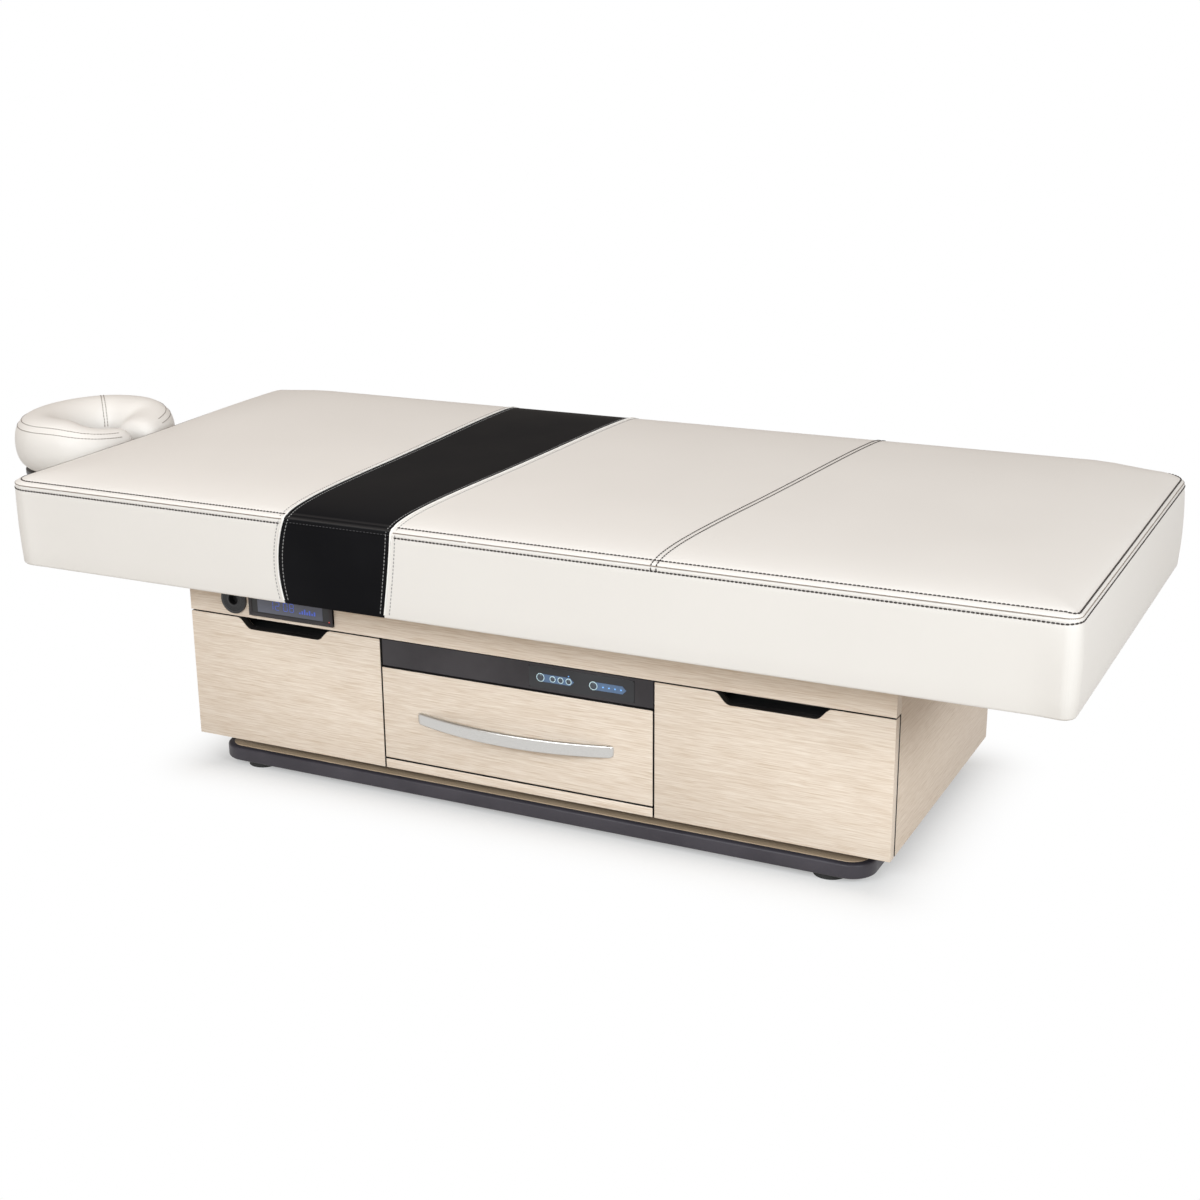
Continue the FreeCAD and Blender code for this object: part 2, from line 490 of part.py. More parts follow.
# Warming drawer front, bow handle and heating pad
warm_z = f"({CABINET_BOTTOM} + filler_height + panel_gap)"
warm_front = board("WarmFront", f"-{module_half}", FRONT, warm_z, f"2*{module_half}", "front_board",
                   f"{STRIP_BOTTOM} - panel_gap - {warm_z}")
node("warming_drawer_front", warm_front)
warm_low, warm_high, warm_tall = BAYS["warming_drawer"]
node("heating_pad", board("HeatingPad", f"{warm_low} + {SLIDE_SPACE} + box_wall + heater_margin",
                          f"{FRONT_BACK} + box_wall + heater_margin", f"{box_z} + box_floor",
                          f"{warm_high} - {warm_low} - 2*({SLIDE_SPACE} + box_wall + heater_margin)",
                          f"{BOX_DEPTH} - 2*(box_wall + heater_margin)", "heater_height"))


def bow_handle(name):
    """A flat bar bent in a bow: the space between two arcs, raised by the bar's height."""
    half, rise, thick = size("handle_span")/2, size("handle_rise"), size("handle_thickness")
    ends = [FreeCAD.Vector(x, 0, 0) for x in (-half, half, half - thick, thick - half)]
    outer = Part.Arc(ends[0], FreeCAD.Vector(0, -rise, 0), ends[1])
    inner = Part.Arc(ends[2], FreeCAD.Vector(0, thick - rise, 0), ends[3])
    feet = [Part.LineSegment(ends[1], ends[2]), Part.LineSegment(ends[3], ends[0])]
    outline = Part.Wire([edge.toShape() for edge in (outer, feet[0], inner, feet[1])])
    piece = doc.addObject("Part::Feature", name)
    piece.Shape = Part.Face(outline).extrude(FreeCAD.Vector(0, 0, size("handle_height")))
    return place(piece, "0", FRONT, f"{CABINET_BOTTOM} + handle_lift")


node("bow_handle", bow_handle("BowHandle"))

# Face rest: sockets under the deck, a welded frame on two rods, a tilting platform and the cushion
head_end = "(-mattress_length/2)"
rod_z = f"({CABINET_TOP} - bracket_height/2 - socket_wall)"
rod_x = f"({head_end} - rod_stop)"
rod_length = "((mattress_length - cabinet_length)/2 - rod_clear)"
bar_z = f"({rod_z} + hinge_height)"
tubes = []
for sign, hand in SIDES:
    tube_x = f"({head_end} + rod_inset)"
    tube_half = "(rod_radius + rod_run + socket_wall)"
    block = board(f"RodBlock{hand}", tube_x, f"{sign}*rod_spread/2 - {tube_half}", f"{rod_z} - {tube_half}",
                  f"{rod_length} - rod_stop", f"2*{tube_half}", f"{CABINET_TOP} - {rod_z} + {tube_half}")
    bore = rod(f"RodBore{hand}", f"{tube_x} - overrun", f"{sign}*rod_spread/2", rod_z, "rod_radius + rod_run",
               f"{rod_length} + 2*overrun", "x")
    tubes.append(cut(f"RodSocket{hand}", block, bore))
node("face_rest_sockets", group("FaceRestSockets", tubes))
frame_pieces = [rod("HingeBar", rod_x, "-rod_spread/2", bar_z, "bar_radius", "rod_spread", "y")]
for sign, hand in SIDES:
    frame_pieces += [
        rod(f"FaceRod{hand}", rod_x, f"{sign}*rod_spread/2", rod_z, "rod_radius", rod_length, "x"),
        rod(f"FacePost{hand}", rod_x, f"{sign}*rod_spread/2", f"{rod_z} - rod_radius", "bar_radius",
            "hinge_height + rod_radius + bar_radius")]
node("face_rest_frame", fuse("FaceRestFrame", *frame_pieces))
ring_x = f"({head_end} - face_gap - face_length + cushion_radius)"
platform_z = f"({bar_z} + platform_lift)"
plate_low = f"({head_end} - face_gap - face_length + platform_margin)"
plate_blank = rounded_plate("PlatformBlank", f"({plate_low} + {rod_x} + bar_radius)/2", "0", platform_z,
                            f"{rod_x} + bar_radius - {plate_low}", f"2*({CUSHION_RING} + platform_margin)",
                            "platform_plate", "platform_round")
plate_hole = rod("PlatformHole", ring_x, "0", f"{platform_z} - overrun", "platform_hole",
                 "platform_plate + 2*overrun")
node("face_rest_platform", cut("Platform", plate_blank, plate_hole))
knuckles = []
for sign, hand in SIDES:
    ring_y = f"({sign}*knuckle_spread/2 - knuckle_length/2)"
    hub = rod(f"KnuckleHub{hand}", rod_x, ring_y, bar_z, "bar_radius + rod_run + knuckle_wall/2",
              "knuckle_length", "y")
    web = board(f"KnuckleWeb{hand}", f"{rod_x} - bar_radius", ring_y, bar_z, "2*bar_radius", "knuckle_length",
                "platform_lift")
    eye = rod(f"KnuckleEye{hand}", rod_x, f"{ring_y} - overrun", bar_z, "bar_radius + rod_run",
              "knuckle_length + 2*overrun", "y")
    knuckles.append(cut(f"Knuckle{hand}", fuse(f"KnuckleShell{hand}", hub, web), eye))
node("tilt_knuckles", group("TiltKnuckles", knuckles))
cushion_z = f"({platform_z} + platform_plate + cushion_flat)"
arm_length = "(face_length - cushion_radius - cushion_roll)"
ring = doc.addObject("Part::Torus", "CushionRing")
for side, text in (("Radius1", CUSHION_RING), ("Radius2", "cushion_roll")):
    ring.setExpression(side, bound(text))
ring.Angle3 = 180
ring.Placement = FreeCAD.Placement(FreeCAD.Vector(), FreeCAD.Rotation(FreeCAD.Vector(0, 0, 1), 90))
rolls = [place(ring, ring_x, "0", cushion_z)]
for sign, hand in SIDES:
    arm_y = f"{sign}*{CUSHION_RING}"
    rolls.append(rod(f"CushionArm{hand}", ring_x, arm_y, cushion_z, "cushion_roll", arm_length, "x"))
    arm_end = doc.addObject("Part::Sphere", f"CushionEnd{hand}")
    arm_end.setExpression("Radius", bound("cushion_roll"))
    rolls.append(place(arm_end, f"{ring_x} + {arm_length}", arm_y, cushion_z))
ring_reach = "(cushion_radius + overrun)"
flat = board("CushionFlat", f"{ring_x} - {ring_reach}", f"-{ring_reach}",
             f"{platform_z} + platform_plate - cushion_roll", f"2*{ring_reach}", f"2*{ring_reach}",
             "cushion_roll")
node("face_cushion", cut("FaceCushion", fuse("CushionRoll", *rolls), flat))
lever_y = "(rod_spread/2 + bar_radius + lever_run)"
lever_hub = rod("LeverHub", rod_x, lever_y, bar_z, "lever_hub", "lever_thickness", "y")
lever_arm = board("LeverArm", f"{rod_x} - lever_width/2", lever_y, f"{bar_z} - lever_length", "lever_width",
                  "lever_thickness", "lever_length")
node("clamp_lever", fuse("ClampLever", lever_hub, lever_arm))

# Check every object and every node before anything is written
doc.recompute()
for item in doc.Objects:
    if "Invalid" in item.State or "Error" in item.State:
        raise RuntimeError(f"{item.Label} failed: {item.State}")
for piece in nodes:
    if piece.Shape.isNull() or not piece.Shape.isValid() or not piece.Shape.Solids:
        raise RuntimeError(f"{piece.Label} has no valid solid")

os.makedirs("parts", exist_ok=True)
for piece in nodes:
    piece.Shape.exportStep(f"parts/{piece.Label}.step")
print(len(nodes), "nodes written")
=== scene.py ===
# %% [markdown]
# # An electric treatment table, dressed piece by piece
# The table is a padded top on a wooden cabinet that rises on two telescopic columns.
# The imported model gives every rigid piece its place. This lesson gives the pieces their
# looks: sewn vinyl, pale oak laminate, steel, rubber and a small control pad.

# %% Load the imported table
import json
import math

import bmesh
import bpy
from mathutils import Matrix, Vector


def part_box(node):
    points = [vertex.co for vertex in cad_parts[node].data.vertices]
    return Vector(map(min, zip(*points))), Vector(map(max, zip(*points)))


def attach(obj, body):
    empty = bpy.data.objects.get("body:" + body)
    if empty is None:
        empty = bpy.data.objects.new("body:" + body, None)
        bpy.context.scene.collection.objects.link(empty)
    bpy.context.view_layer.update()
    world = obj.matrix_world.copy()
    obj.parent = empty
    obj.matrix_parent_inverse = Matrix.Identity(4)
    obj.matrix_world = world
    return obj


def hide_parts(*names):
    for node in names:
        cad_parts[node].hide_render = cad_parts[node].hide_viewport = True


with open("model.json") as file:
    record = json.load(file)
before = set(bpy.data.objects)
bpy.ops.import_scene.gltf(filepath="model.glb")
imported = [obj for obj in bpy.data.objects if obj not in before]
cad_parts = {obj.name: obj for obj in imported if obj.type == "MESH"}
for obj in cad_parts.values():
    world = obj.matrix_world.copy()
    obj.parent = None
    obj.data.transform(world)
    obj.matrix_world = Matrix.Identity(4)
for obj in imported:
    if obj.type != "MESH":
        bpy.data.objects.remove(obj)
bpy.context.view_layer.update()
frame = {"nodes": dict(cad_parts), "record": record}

nodes = frame["nodes"]
slot_of = {row["node"]: row["material_slot"] for row in frame["record"]["subparts"]}

# %% [markdown]
# ## Camera
# The table was photographed from its foot corner, a little above the top. The lens, the
# place and the turn of the camera were worked out from the corners of the cabinet and of
# the padded top, so the edges of the render fall where they fall in the photograph.

# %% Camera
IMAGE_SIZE = 1200
FOCAL_PIXELS = 1908.1
cover_low, cover_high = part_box("pale_cover")
TOP_CENTRE = (cover_low + cover_high) / 2
CAMERA_PLACE = Vector((TOP_CENTRE.x + 1.4476, -2.9848, 1.3869))
CAMERA_YAW = math.radians(27.731)
CAMERA_PITCH = math.radians(18.740)
CAMERA_ROLL = math.radians(-1.144)
IMAGE_CENTRE = (528.6, 632.2)

ahead = Vector((-math.sin(CAMERA_YAW) * math.cos(CAMERA_PITCH),
                math.cos(CAMERA_YAW) * math.cos(CAMERA_PITCH), -math.sin(CAMERA_PITCH)))
level_right = Vector((math.cos(CAMERA_YAW), math.sin(CAMERA_YAW), 0))
level_up = level_right.cross(ahead)
right = math.cos(CAMERA_ROLL) * level_right + math.sin(CAMERA_ROLL) * level_up
up = -math.sin(CAMERA_ROLL) * level_right + math.cos(CAMERA_ROLL) * level_up

lens = bpy.data.cameras.new("photo_lens")
lens.sensor_width = 36
lens.lens = FOCAL_PIXELS / IMAGE_SIZE * lens.sensor_width
lens.shift_x = (IMAGE_SIZE / 2 - IMAGE_CENTRE[0]) / IMAGE_SIZE
lens.shift_y = (IMAGE_CENTRE[1] - IMAGE_SIZE / 2) / IMAGE_SIZE
camera = bpy.data.objects.new("photo_camera", lens)
camera.matrix_world = Matrix.Translation(CAMERA_PLACE) @ Matrix((right, up, -ahead)).transposed().to_4x4()
bpy.context.collection.objects.link(camera)
bpy.context.scene.camera = camera
print("lens", round(lens.lens, 2), "mm")

# %% [markdown]
# ## Studio
# The photograph has a white sweep and broad soft light from high on the camera's side, so
# the front of the top is brighter than its back and the cabinet is shaded by the overhang.
# A pale floor keeps the soft shadow near the plinth and fades to plain white further out,
# and it throws back less light than the camera sees, so the cabinet keeps its shade. The
# world shows as white to the camera and through glass, and lights more gently.

# %% Node helpers
def add_node(tree, kind, **settings):
    """Adds one node to a node tree and sets what is named."""
    made = tree.nodes.new(kind)
    for name, value in settings.items():
        setattr(made, name, value)
    return made


def link_all(tree, *pairs):
    """Links each output socket to the input socket beside it."""
    for output, target in pairs:
        tree.links.new(output, target)


# %% Floor
FADE_START = -0.12
FADE_END = 0.17
PALE_FLOOR = (0.80, 0.795, 0.79, 1)
MUTED_FLOOR = (0.40, 0.36, 0.31, 1)
FLOOR_RADIUS = 14
plinth_low, plinth_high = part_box("bumper_edge")
plinth_middle = (plinth_low + plinth_high) / 2
plinth_half = (plinth_high - plinth_low) / 2
floor_finish = bpy.data.materials.new("studio_floor")
floor_finish.use_nodes = True
tree = floor_finish.node_tree
tree.nodes.clear()
place = add_node(tree, "ShaderNodeTexCoord")
from_middle = add_node(tree, "ShaderNodeVectorMath", operation="SUBTRACT")
from_middle.inputs[1].default_value = (plinth_middle.x, plinth_middle.y, 0)
folded = add_node(tree, "ShaderNodeVectorMath", operation="ABSOLUTE")
past_edge = add_node(tree, "ShaderNodeVectorMath", operation="SUBTRACT")
past_edge.inputs[1].default_value = (plinth_half.x, plinth_half.y, 0)
outside = add_node(tree, "ShaderNodeVectorMath", operation="MAXIMUM")
reach = add_node(tree, "ShaderNodeVectorMath", operation="LENGTH")
fade = add_node(tree, "ShaderNodeMapRange", interpolation_type="SMOOTHERSTEP")
fade.inputs["From Min"].default_value = FADE_START
fade.inputs["From Max"].default_value = FADE_END
pale = add_node(tree, "ShaderNodeBsdfDiffuse")
pale.inputs["Color"].default_value = PALE_FLOOR
muted = add_node(tree, "ShaderNodeBsdfDiffuse")
muted.inputs["Color"].default_value = MUTED_FLOOR
plain_white = add_node(tree, "ShaderNodeEmission")
sweep = add_node(tree, "ShaderNodeMixShader")
ray = add_node(tree, "ShaderNodeLightPath")
shown = add_node(tree, "ShaderNodeMath", operation="MAXIMUM")
bounce = add_node(tree, "ShaderNodeMixShader")
surface = add_node(tree, "ShaderNodeOutputMaterial")
link_all(tree,
         (place.outputs["Object"], from_middle.inputs[0]),
         (from_middle.outputs[0], folded.inputs[0]),
         (folded.outputs[0], past_edge.inputs[0]),
         (past_edge.outputs[0], outside.inputs[0]),
         (outside.outputs[0], reach.inputs[0]),
         (reach.outputs["Value"], fade.inputs["Value"]),
         (fade.outputs["Result"], sweep.inputs[0]),
         (pale.outputs[0], sweep.inputs[1]),
         (plain_white.outputs[0], sweep.inputs[2]),
         (ray.outputs["Is Camera Ray"], shown.inputs[0]),
         (ray.outputs["Is Glossy Ray"], shown.inputs[1]),
         (shown.outputs[0], bounce.inputs[0]),
         (muted.outputs[0], bounce.inputs[1]),
         (sweep.outputs[0], bounce.inputs[2]),
         (bounce.outputs[0], surface.inputs["Surface"]))
shape = bmesh.new()
bmesh.ops.create_circle(shape, cap_ends=True, segments=64, radius=FLOOR_RADIUS)
mesh = bpy.data.meshes.new("studio_floor")
shape.to_mesh(mesh)
shape.free()
mesh.materials.append(floor_finish)
floor = bpy.data.objects.new("studio_floor", mesh)
bpy.context.collection.objects.link(floor)
print("floor fades out", FADE_END, "m from the plinth")

# %% World
SKY_STRENGTH = 0.545
SKY_COLOUR = (1, 0.908, 0.83, 1)
world = bpy.data.worlds.new("studio_world")
world.use_nodes = True
bpy.context.scene.world = world
tree = world.node_tree
tree.nodes.clear()
ray = add_node(tree, "ShaderNodeLightPath")
seen = add_node(tree, "ShaderNodeMath", operation="MAXIMUM")
gentle = add_node(tree, "ShaderNodeBackground")
gentle.inputs["Strength"].default_value = SKY_STRENGTH
gentle.inputs["Color"].default_value = SKY_COLOUR
white = add_node(tree, "ShaderNodeBackground")
white.inputs["Color"].default_value = (1, 1, 1, 1)
either = add_node(tree, "ShaderNodeMixShader")
sky = add_node(tree, "ShaderNodeOutputWorld")
link_all(tree,
         (ray.outputs["Is Camera Ray"], seen.inputs[0]),
         (ray.outputs["Is Transmission Ray"], seen.inputs[1]),
         (seen.outputs[0], either.inputs[0]),
         (gentle.outputs[0], either.inputs[1]),
         (white.outputs[0], either.inputs[2]),
         (either.outputs[0], sky.inputs["Surface"]))
print("world lights at", SKY_STRENGTH)

# %% Lamps
COOL_LAMP = (0.90, 0.962, 1.0)
WARM_LAMP = (1.0, 0.95, 0.90)


def soft_lamp(name, place, target, width, height, power, colour=COOL_LAMP):
    """A rectangular lamp that faces a point."""
    light = bpy.data.lights.new(name, "AREA")
    light.color = colour
    light.shape = "RECTANGLE"
    light.size = width
    light.size_y = height
    light.energy = power
    lamp = bpy.data.objects.new(name, light)
    towards = Vector(target) - Vector(place)
    turn = towards.to_track_quat("-Z", "Y").to_matrix().to_4x4()
    lamp.matrix_world = Matrix.Translation(place) @ turn
    bpy.context.collection.objects.link(lamp)


soft_lamp("front_key", place=(-0.15, -4.0, 2.15), target=(-0.05, -0.3, 0.4), width=3.6, height=1.1, power=109)
soft_lamp("near_strip", place=(-0.7, -0.75, 2.25), target=(-0.7, -0.1, 0.5), width=2.4, height=0.8, power=12,
          colour=WARM_LAMP)
soft_lamp("foot_window", place=(3.65, -1.75, 1.95), target=(1.0, -0.2, 0.4), width=1.8, height=1.0, power=84)
bpy.context.scene.view_settings.view_transform = "Standard"
print("studio ready, lamps", len(bpy.data.lights))

# %% [markdown]
# ## Shared effects
# Several finishes share an effect, so each is built once as a node group: the fine pebble
# of vinyl, the straight grain of rift-cut oak, the hairlines of brushed metal, and the fine
# speckle of moulded plastic and powder paint. Each group gives values that change over the
# surface, and the finish decides how strong they are.

# %% Effect helpers
def effect_group(name, outputs):
    """A node group that takes a place on the surface and puts out named values."""
    group = bpy.data.node_groups.new(name, "ShaderNodeTree")
    group.interface.new_socket("Vector", in_out="INPUT", socket_type="NodeSocketVector")
    for label in outputs:
        group.interface.new_socket(label, in_out="OUTPUT", socket_type="NodeSocketFloat")
    spot = add_node(group, "NodeGroupInput").outputs["Vector"]
    end = add_node(group, "NodeGroupOutput")
    return group, spot, end


def noise_node(tree, vector, scale, detail, roughness=0.5):
    """A noise over a place, as a value about one half."""
    made = add_node(tree, "ShaderNodeTexNoise")
    made.inputs["Scale"].default_value = scale
    made.inputs["Detail"].default_value = detail
    made.inputs["Roughness"].default_value = roughness
    tree.links.new(vector, made.inputs["Vector"])
    return made.outputs["Fac"]


def math_node(tree, operation, first, second):
    """Works with two values, each a plain number or an output of another node."""
    made = add_node(tree, "ShaderNodeMath", operation=operation)
    for number, value in enumerate((first, second)):
        if isinstance(value, (int, float)):
            made.inputs[number].default_value = value
        else:
            tree.links.new(value, made.inputs[number])
    return made.outputs[0]


def weighted_sum(tree, *parts):
    """Adds up values, each multiplied by its share."""
    total = None
    for value, share in parts:
        term = math_node(tree, "MULTIPLY", value, share)
        total = term if total is None else math_node(tree, "ADD", total, term)
    return total


def stretched(tree, vector, scales):
    """Scales a place along each axis, which draws a noise out into fibres."""
    made = add_node(tree, "ShaderNodeMapping")
    made.inputs["Scale"].default_value = scales
    tree.links.new(vector, made.inputs["Vector"])
    return made.outputs[0]


# %% Vinyl pebble
PEBBLE_SCALE = 520
vinyl_grain, spot, end = effect_group("vinyl_grain", ["Mottle", "Pebble"])
cells = add_node(vinyl_grain, "ShaderNodeTexVoronoi", feature="SMOOTH_F1")
cells.inputs["Scale"].default_value = PEBBLE_SCALE
fine = noise_node(vinyl_grain, spot, scale=1500, detail=2)
pebble = weighted_sum(vinyl_grain, (cells.outputs["Distance"], 1.0), (fine, 0.35))
link_all(vinyl_grain,
         (spot, cells.inputs["Vector"]),
         (pebble, end.inputs["Pebble"]),
         (noise_node(vinyl_grain, spot, scale=5.5, detail=3), end.inputs["Mottle"]))
print("effect", vinyl_grain.name)

# %% Oak grain, along the first axis of the place that comes in
DASH_START = 0.55
DASH_END = 0.68
oak_grain, spot, end = effect_group("oak_grain", ["Tone", "Pores"])


def fibres(scales, detail, roughness=0.5):
    """A noise that is drawn out along the grain."""
    return noise_node(oak_grain, stretched(oak_grain, spot, scales), 1, detail, roughness)


broad = fibres((2.5, 34, 34), detail=2)
lines = fibres((11, 560, 560), detail=3, roughness=0.6)
pores = fibres((36, 900, 900), detail=2)
dash = add_node(oak_grain, "ShaderNodeMapRange", interpolation_type="SMOOTHSTEP")
dash.inputs["From Min"].default_value = DASH_START
dash.inputs["From Max"].default_value = DASH_END
oak_grain.links.new(fibres((14, 480, 480), detail=1), dash.inputs["Value"])
tone = weighted_sum(oak_grain, (broad, 0.10), (lines, 0.42), (pores, 0.44), (dash.outputs["Result"], -0.10))
link_all(oak_grain, (tone, end.inputs["Tone"]), (pores, end.inputs["Pores"]))
print("effect", oak_grain.name)

# %% Hairlines and speckle
hairlines, spot, end = effect_group("hairlines", ["Lines", "Smudge"])
drawn = noise_node(hairlines, stretched(hairlines, spot, (5, 2200, 2200)), scale=1, detail=1)
smudge = noise_node(hairlines, spot, scale=14, detail=3)
link_all(hairlines, (drawn, end.inputs["Lines"]), (smudge, end.inputs["Smudge"]))
fine_speckle, spot, end = effect_group("fine_speckle", ["Speckle", "Cloud"])
speckle = noise_node(fine_speckle, spot, scale=1400, detail=2)
cloud = noise_node(fine_speckle, spot, scale=11, detail=4)
link_all(fine_speckle, (speckle, end.inputs["Speckle"]), (cloud, end.inputs["Cloud"]))
print("effects", [group.name for group in bpy.data.node_groups])

# %% [markdown]
# ## Finishes
# A finish is one shader fed by one of the effects. The two end colours of a finish are
# mixed by the effect, the roughness moves a little with it, and a shallow bump gives the
# surface its tooth. Values that are the same all over are set on the shader itself.

# %% Finish maker
def finish_of(name, effect, dark, light, mix, rough, height=None, bump=0.1, depth=0.0002, turn=None,
              **constants):
    """A material whose colour, roughness and bump follow one effect group.
    mix is the effect's output for colour with the two values that mean dark and light."""
    made = bpy.data.materials.new(name)
    made.use_nodes = True
    tree = made.node_tree
    shader = tree.nodes["Principled BSDF"]
    coordinates = add_node(tree, "ShaderNodeTexCoord").outputs["Object"]
    if turn is not None:
        mapping = add_node(tree, "ShaderNodeMapping")
        mapping.inputs["Rotation"].default_value = turn
        tree.links.new(coordinates, mapping.inputs["Vector"])
        coordinates = mapping.outputs[0]
    pattern = add_node(tree, "ShaderNodeGroup")
    pattern.node_tree = effect
    tree.links.new(coordinates, pattern.inputs["Vector"])
    output, low, high = mix
    share = add_node(tree, "ShaderNodeMapRange")
    share.inputs["From Min"].default_value = low
    share.inputs["From Max"].default_value = high
    tree.links.new(pattern.outputs[output], share.inputs["Value"])
    colour = add_node(tree, "ShaderNodeMix", data_type="RGBA")
    colour.inputs["A"].default_value = (*dark, 1)
    colour.inputs["B"].default_value = (*light, 1)
    tree.links.new(share.outputs["Result"], colour.inputs["Factor"])
    tree.links.new(colour.outputs["Result"], shader.inputs["Base Color"])
    gloss = add_node(tree, "ShaderNodeMapRange")
    gloss.inputs["To Min"].default_value = rough[0]
    gloss.inputs["To Max"].default_value = rough[1]
    tree.links.new(share.outputs["Result"], gloss.inputs["Value"])
    tree.links.new(gloss.outputs["Result"], shader.inputs["Roughness"])
    if height is not None:
        tooth = add_node(tree, "ShaderNodeBump")
        tooth.inputs["Strength"].default_value = bump
        tooth.inputs["Distance"].default_value = depth
        tree.links.new(pattern.outputs[height], tooth.inputs["Height"])
        tree.links.new(tooth.outputs[0], shader.inputs["Normal"])
    for socket, value in constants.items():
        shader.inputs[socket.replace("_", " ")].default_value = value
    return made


# %% [markdown]
# ### Vinyl, thread and foam
# The cover is a soft ivory vinyl with a very fine pebble, the band the same cloth in black.
# The topstitching is thick dark thread on the ivory and grey thread beside the band.

# %% Soft finishes
def speckled(name, dark, light, rough=(0.60, 0.75), bump=0.3, depth=0.0002):
    """Thread or foam: rough, and uneven in tone on a very small scale."""
    return finish_of(name, fine_speckle, dark, light, ("Speckle", 0.3, 0.7), rough, "Speckle", bump, depth)


ivory_vinyl = finish_of("ivory_vinyl", vinyl_grain, (0.714, 0.692, 0.666), (0.726, 0.704, 0.678),
                        ("Mottle", 0.30, 0.70), (0.42, 0.48), "Pebble", 0.14, 0.00022, Specular_IOR_Level=0.3)
black_vinyl = finish_of("black_vinyl", vinyl_grain, (0.0075, 0.0075, 0.0085), (0.0100, 0.0100, 0.0112),
                        ("Mottle", 0.35, 0.65), (0.36, 0.44), "Pebble", 0.16, 0.0002)
white_piping = finish_of("white_piping", vinyl_grain, (0.80, 0.79, 0.77), (0.86, 0.85, 0.83),
                         ("Mottle", 0.35, 0.65), (0.40, 0.48), "Pebble", 0.1, 0.0002)
heat_cloth = finish_of("heat_cloth", vinyl_grain, (0.045, 0.045, 0.050), (0.075, 0.075, 0.080),
                       ("Mottle", 0.35, 0.65), (0.65, 0.75), "Pebble", 0.4, 0.0005)
dark_thread = speckled("dark_thread", (0.018, 0.014, 0.013), (0.050, 0.040, 0.036))
grey_thread = speckled("grey_thread", (0.20, 0.20, 0.20), (0.33, 0.33, 0.33))
taupe_thread = speckled("taupe_thread", (0.13, 0.105, 0.09), (0.22, 0.185, 0.16))
tonal_thread = speckled("tonal_thread", (0.022, 0.022, 0.024), (0.040, 0.040, 0.043))
# Taupe for the fold of the seam: painted shade in its crease.
seam_crease_shade = speckled("seam_crease_shade", (0.20, 0.165, 0.14), (0.30, 0.25, 0.215), (0.55, 0.7), bump=0.2)
grey_foam = speckled("grey_foam", (0.30, 0.31, 0.33), (0.38, 0.39, 0.41), (0.8, 0.9), bump=0.5, depth=0.0006)
print("soft finishes", len(bpy.data.materials))

# %% [markdown]
# The band is dull on its flat faces and shines only where it folds over the front edge, a
# painted highlight set through its specular level. There its normal leans both forwards and up,
# so the product of the two tells the fold from the flat faces, and the shine follows it.

# %% Shine of the band's fold
FOLD_GAIN = -1.6
FOLD_START = 0.50
FLAT_SHINE = 0.008
tree = black_vinyl.node_tree
fold_normal = add_node(tree, "ShaderNodeSeparateXYZ")
tree.links.new(add_node(tree, "ShaderNodeNewGeometry").outputs["Normal"], fold_normal.inputs[0])
fold_share = math_node(tree, "MULTIPLY", fold_normal.outputs["Y"], fold_normal.outputs["Z"])
painted_fold_shine = math_node(tree, "SUBTRACT", math_node(tree, "MULTIPLY", fold_share, FOLD_GAIN), FOLD_START)
painted_fold_shine = math_node(tree, "MAXIMUM", painted_fold_shine, FLAT_SHINE)
tree.links.new(painted_fold_shine, tree.nodes["Principled BSDF"].inputs["Specular IOR Level"])
print("shine follows the fold on", black_vinyl.name)

# %% [markdown]
# ### Wood
# The cabinet is board with a pale, straight-grained oak laminate. The grain runs level on
# every face, so the end panels use the same effect turned a quarter, in a darker, warmer tone
# that is painted shade under the overhang of the top. The boards inside are a plain pale
# melamine.

# %% Wood finishes
def oak(name, dark, light, turn=None):
    """A straight-grained oak laminate in a tone of its own."""
    return finish_of(name, oak_grain, dark, light, ("Tone", 0.27, 0.61), (0.46, 0.54), "Pores", 0.12, 0.00015,
                     turn=turn)


def moulded(name, dark, light, rough, bump=0.10, depth=0.0001, **constants):
    """Plastic, paint, rubber or melamine: almost even in tone and told apart by its gloss."""
    return finish_of(name, fine_speckle, dark, light, ("Cloud", 0.35, 0.65), rough, "Speckle", bump, depth,
                     **constants)


QUARTER_TURN = math.radians(90)
oak_along = oak("oak_along", (0.610, 0.485, 0.370), (0.850, 0.760, 0.665))
# Darker and warmer than the fronts: painted shade under the overhang of the top.
shaded_oak_across = oak("shaded_oak_across", (0.560, 0.440, 0.330), (0.790, 0.690, 0.590), turn=(0, 0, QUARTER_TURN))
# Darker than the fronts: painted shade of the cabinet above the plinth.
shaded_plinth_oak = oak("shaded_plinth_oak", (0.430, 0.310, 0.200), (0.600, 0.460, 0.320))
melamine = moulded("melamine", (0.60, 0.55, 0.48), (0.66, 0.61, 0.54), (0.48, 0.58))
# Black for edges that look into gaps and for the bottom board: painted shade.
painted_gap_shade = moulded("painted_gap_shade", (0.012, 0.011, 0.011), (0.022, 0.020, 0.020), (0.50, 0.60))
print("wood finishes", [oak_along.name, shaded_oak_across.name, shaded_plinth_oak.name])

# %% [markdown]
# ### Metal, rubber and plastic
# The handle is brushed nickel with hairlines along its length. The columns are anodised
# aluminium, the slides bright zinc, the frames dark powder paint. The bumper, the strip and
# the small fittings are charcoal and black plastics, told apart mostly by their gloss.

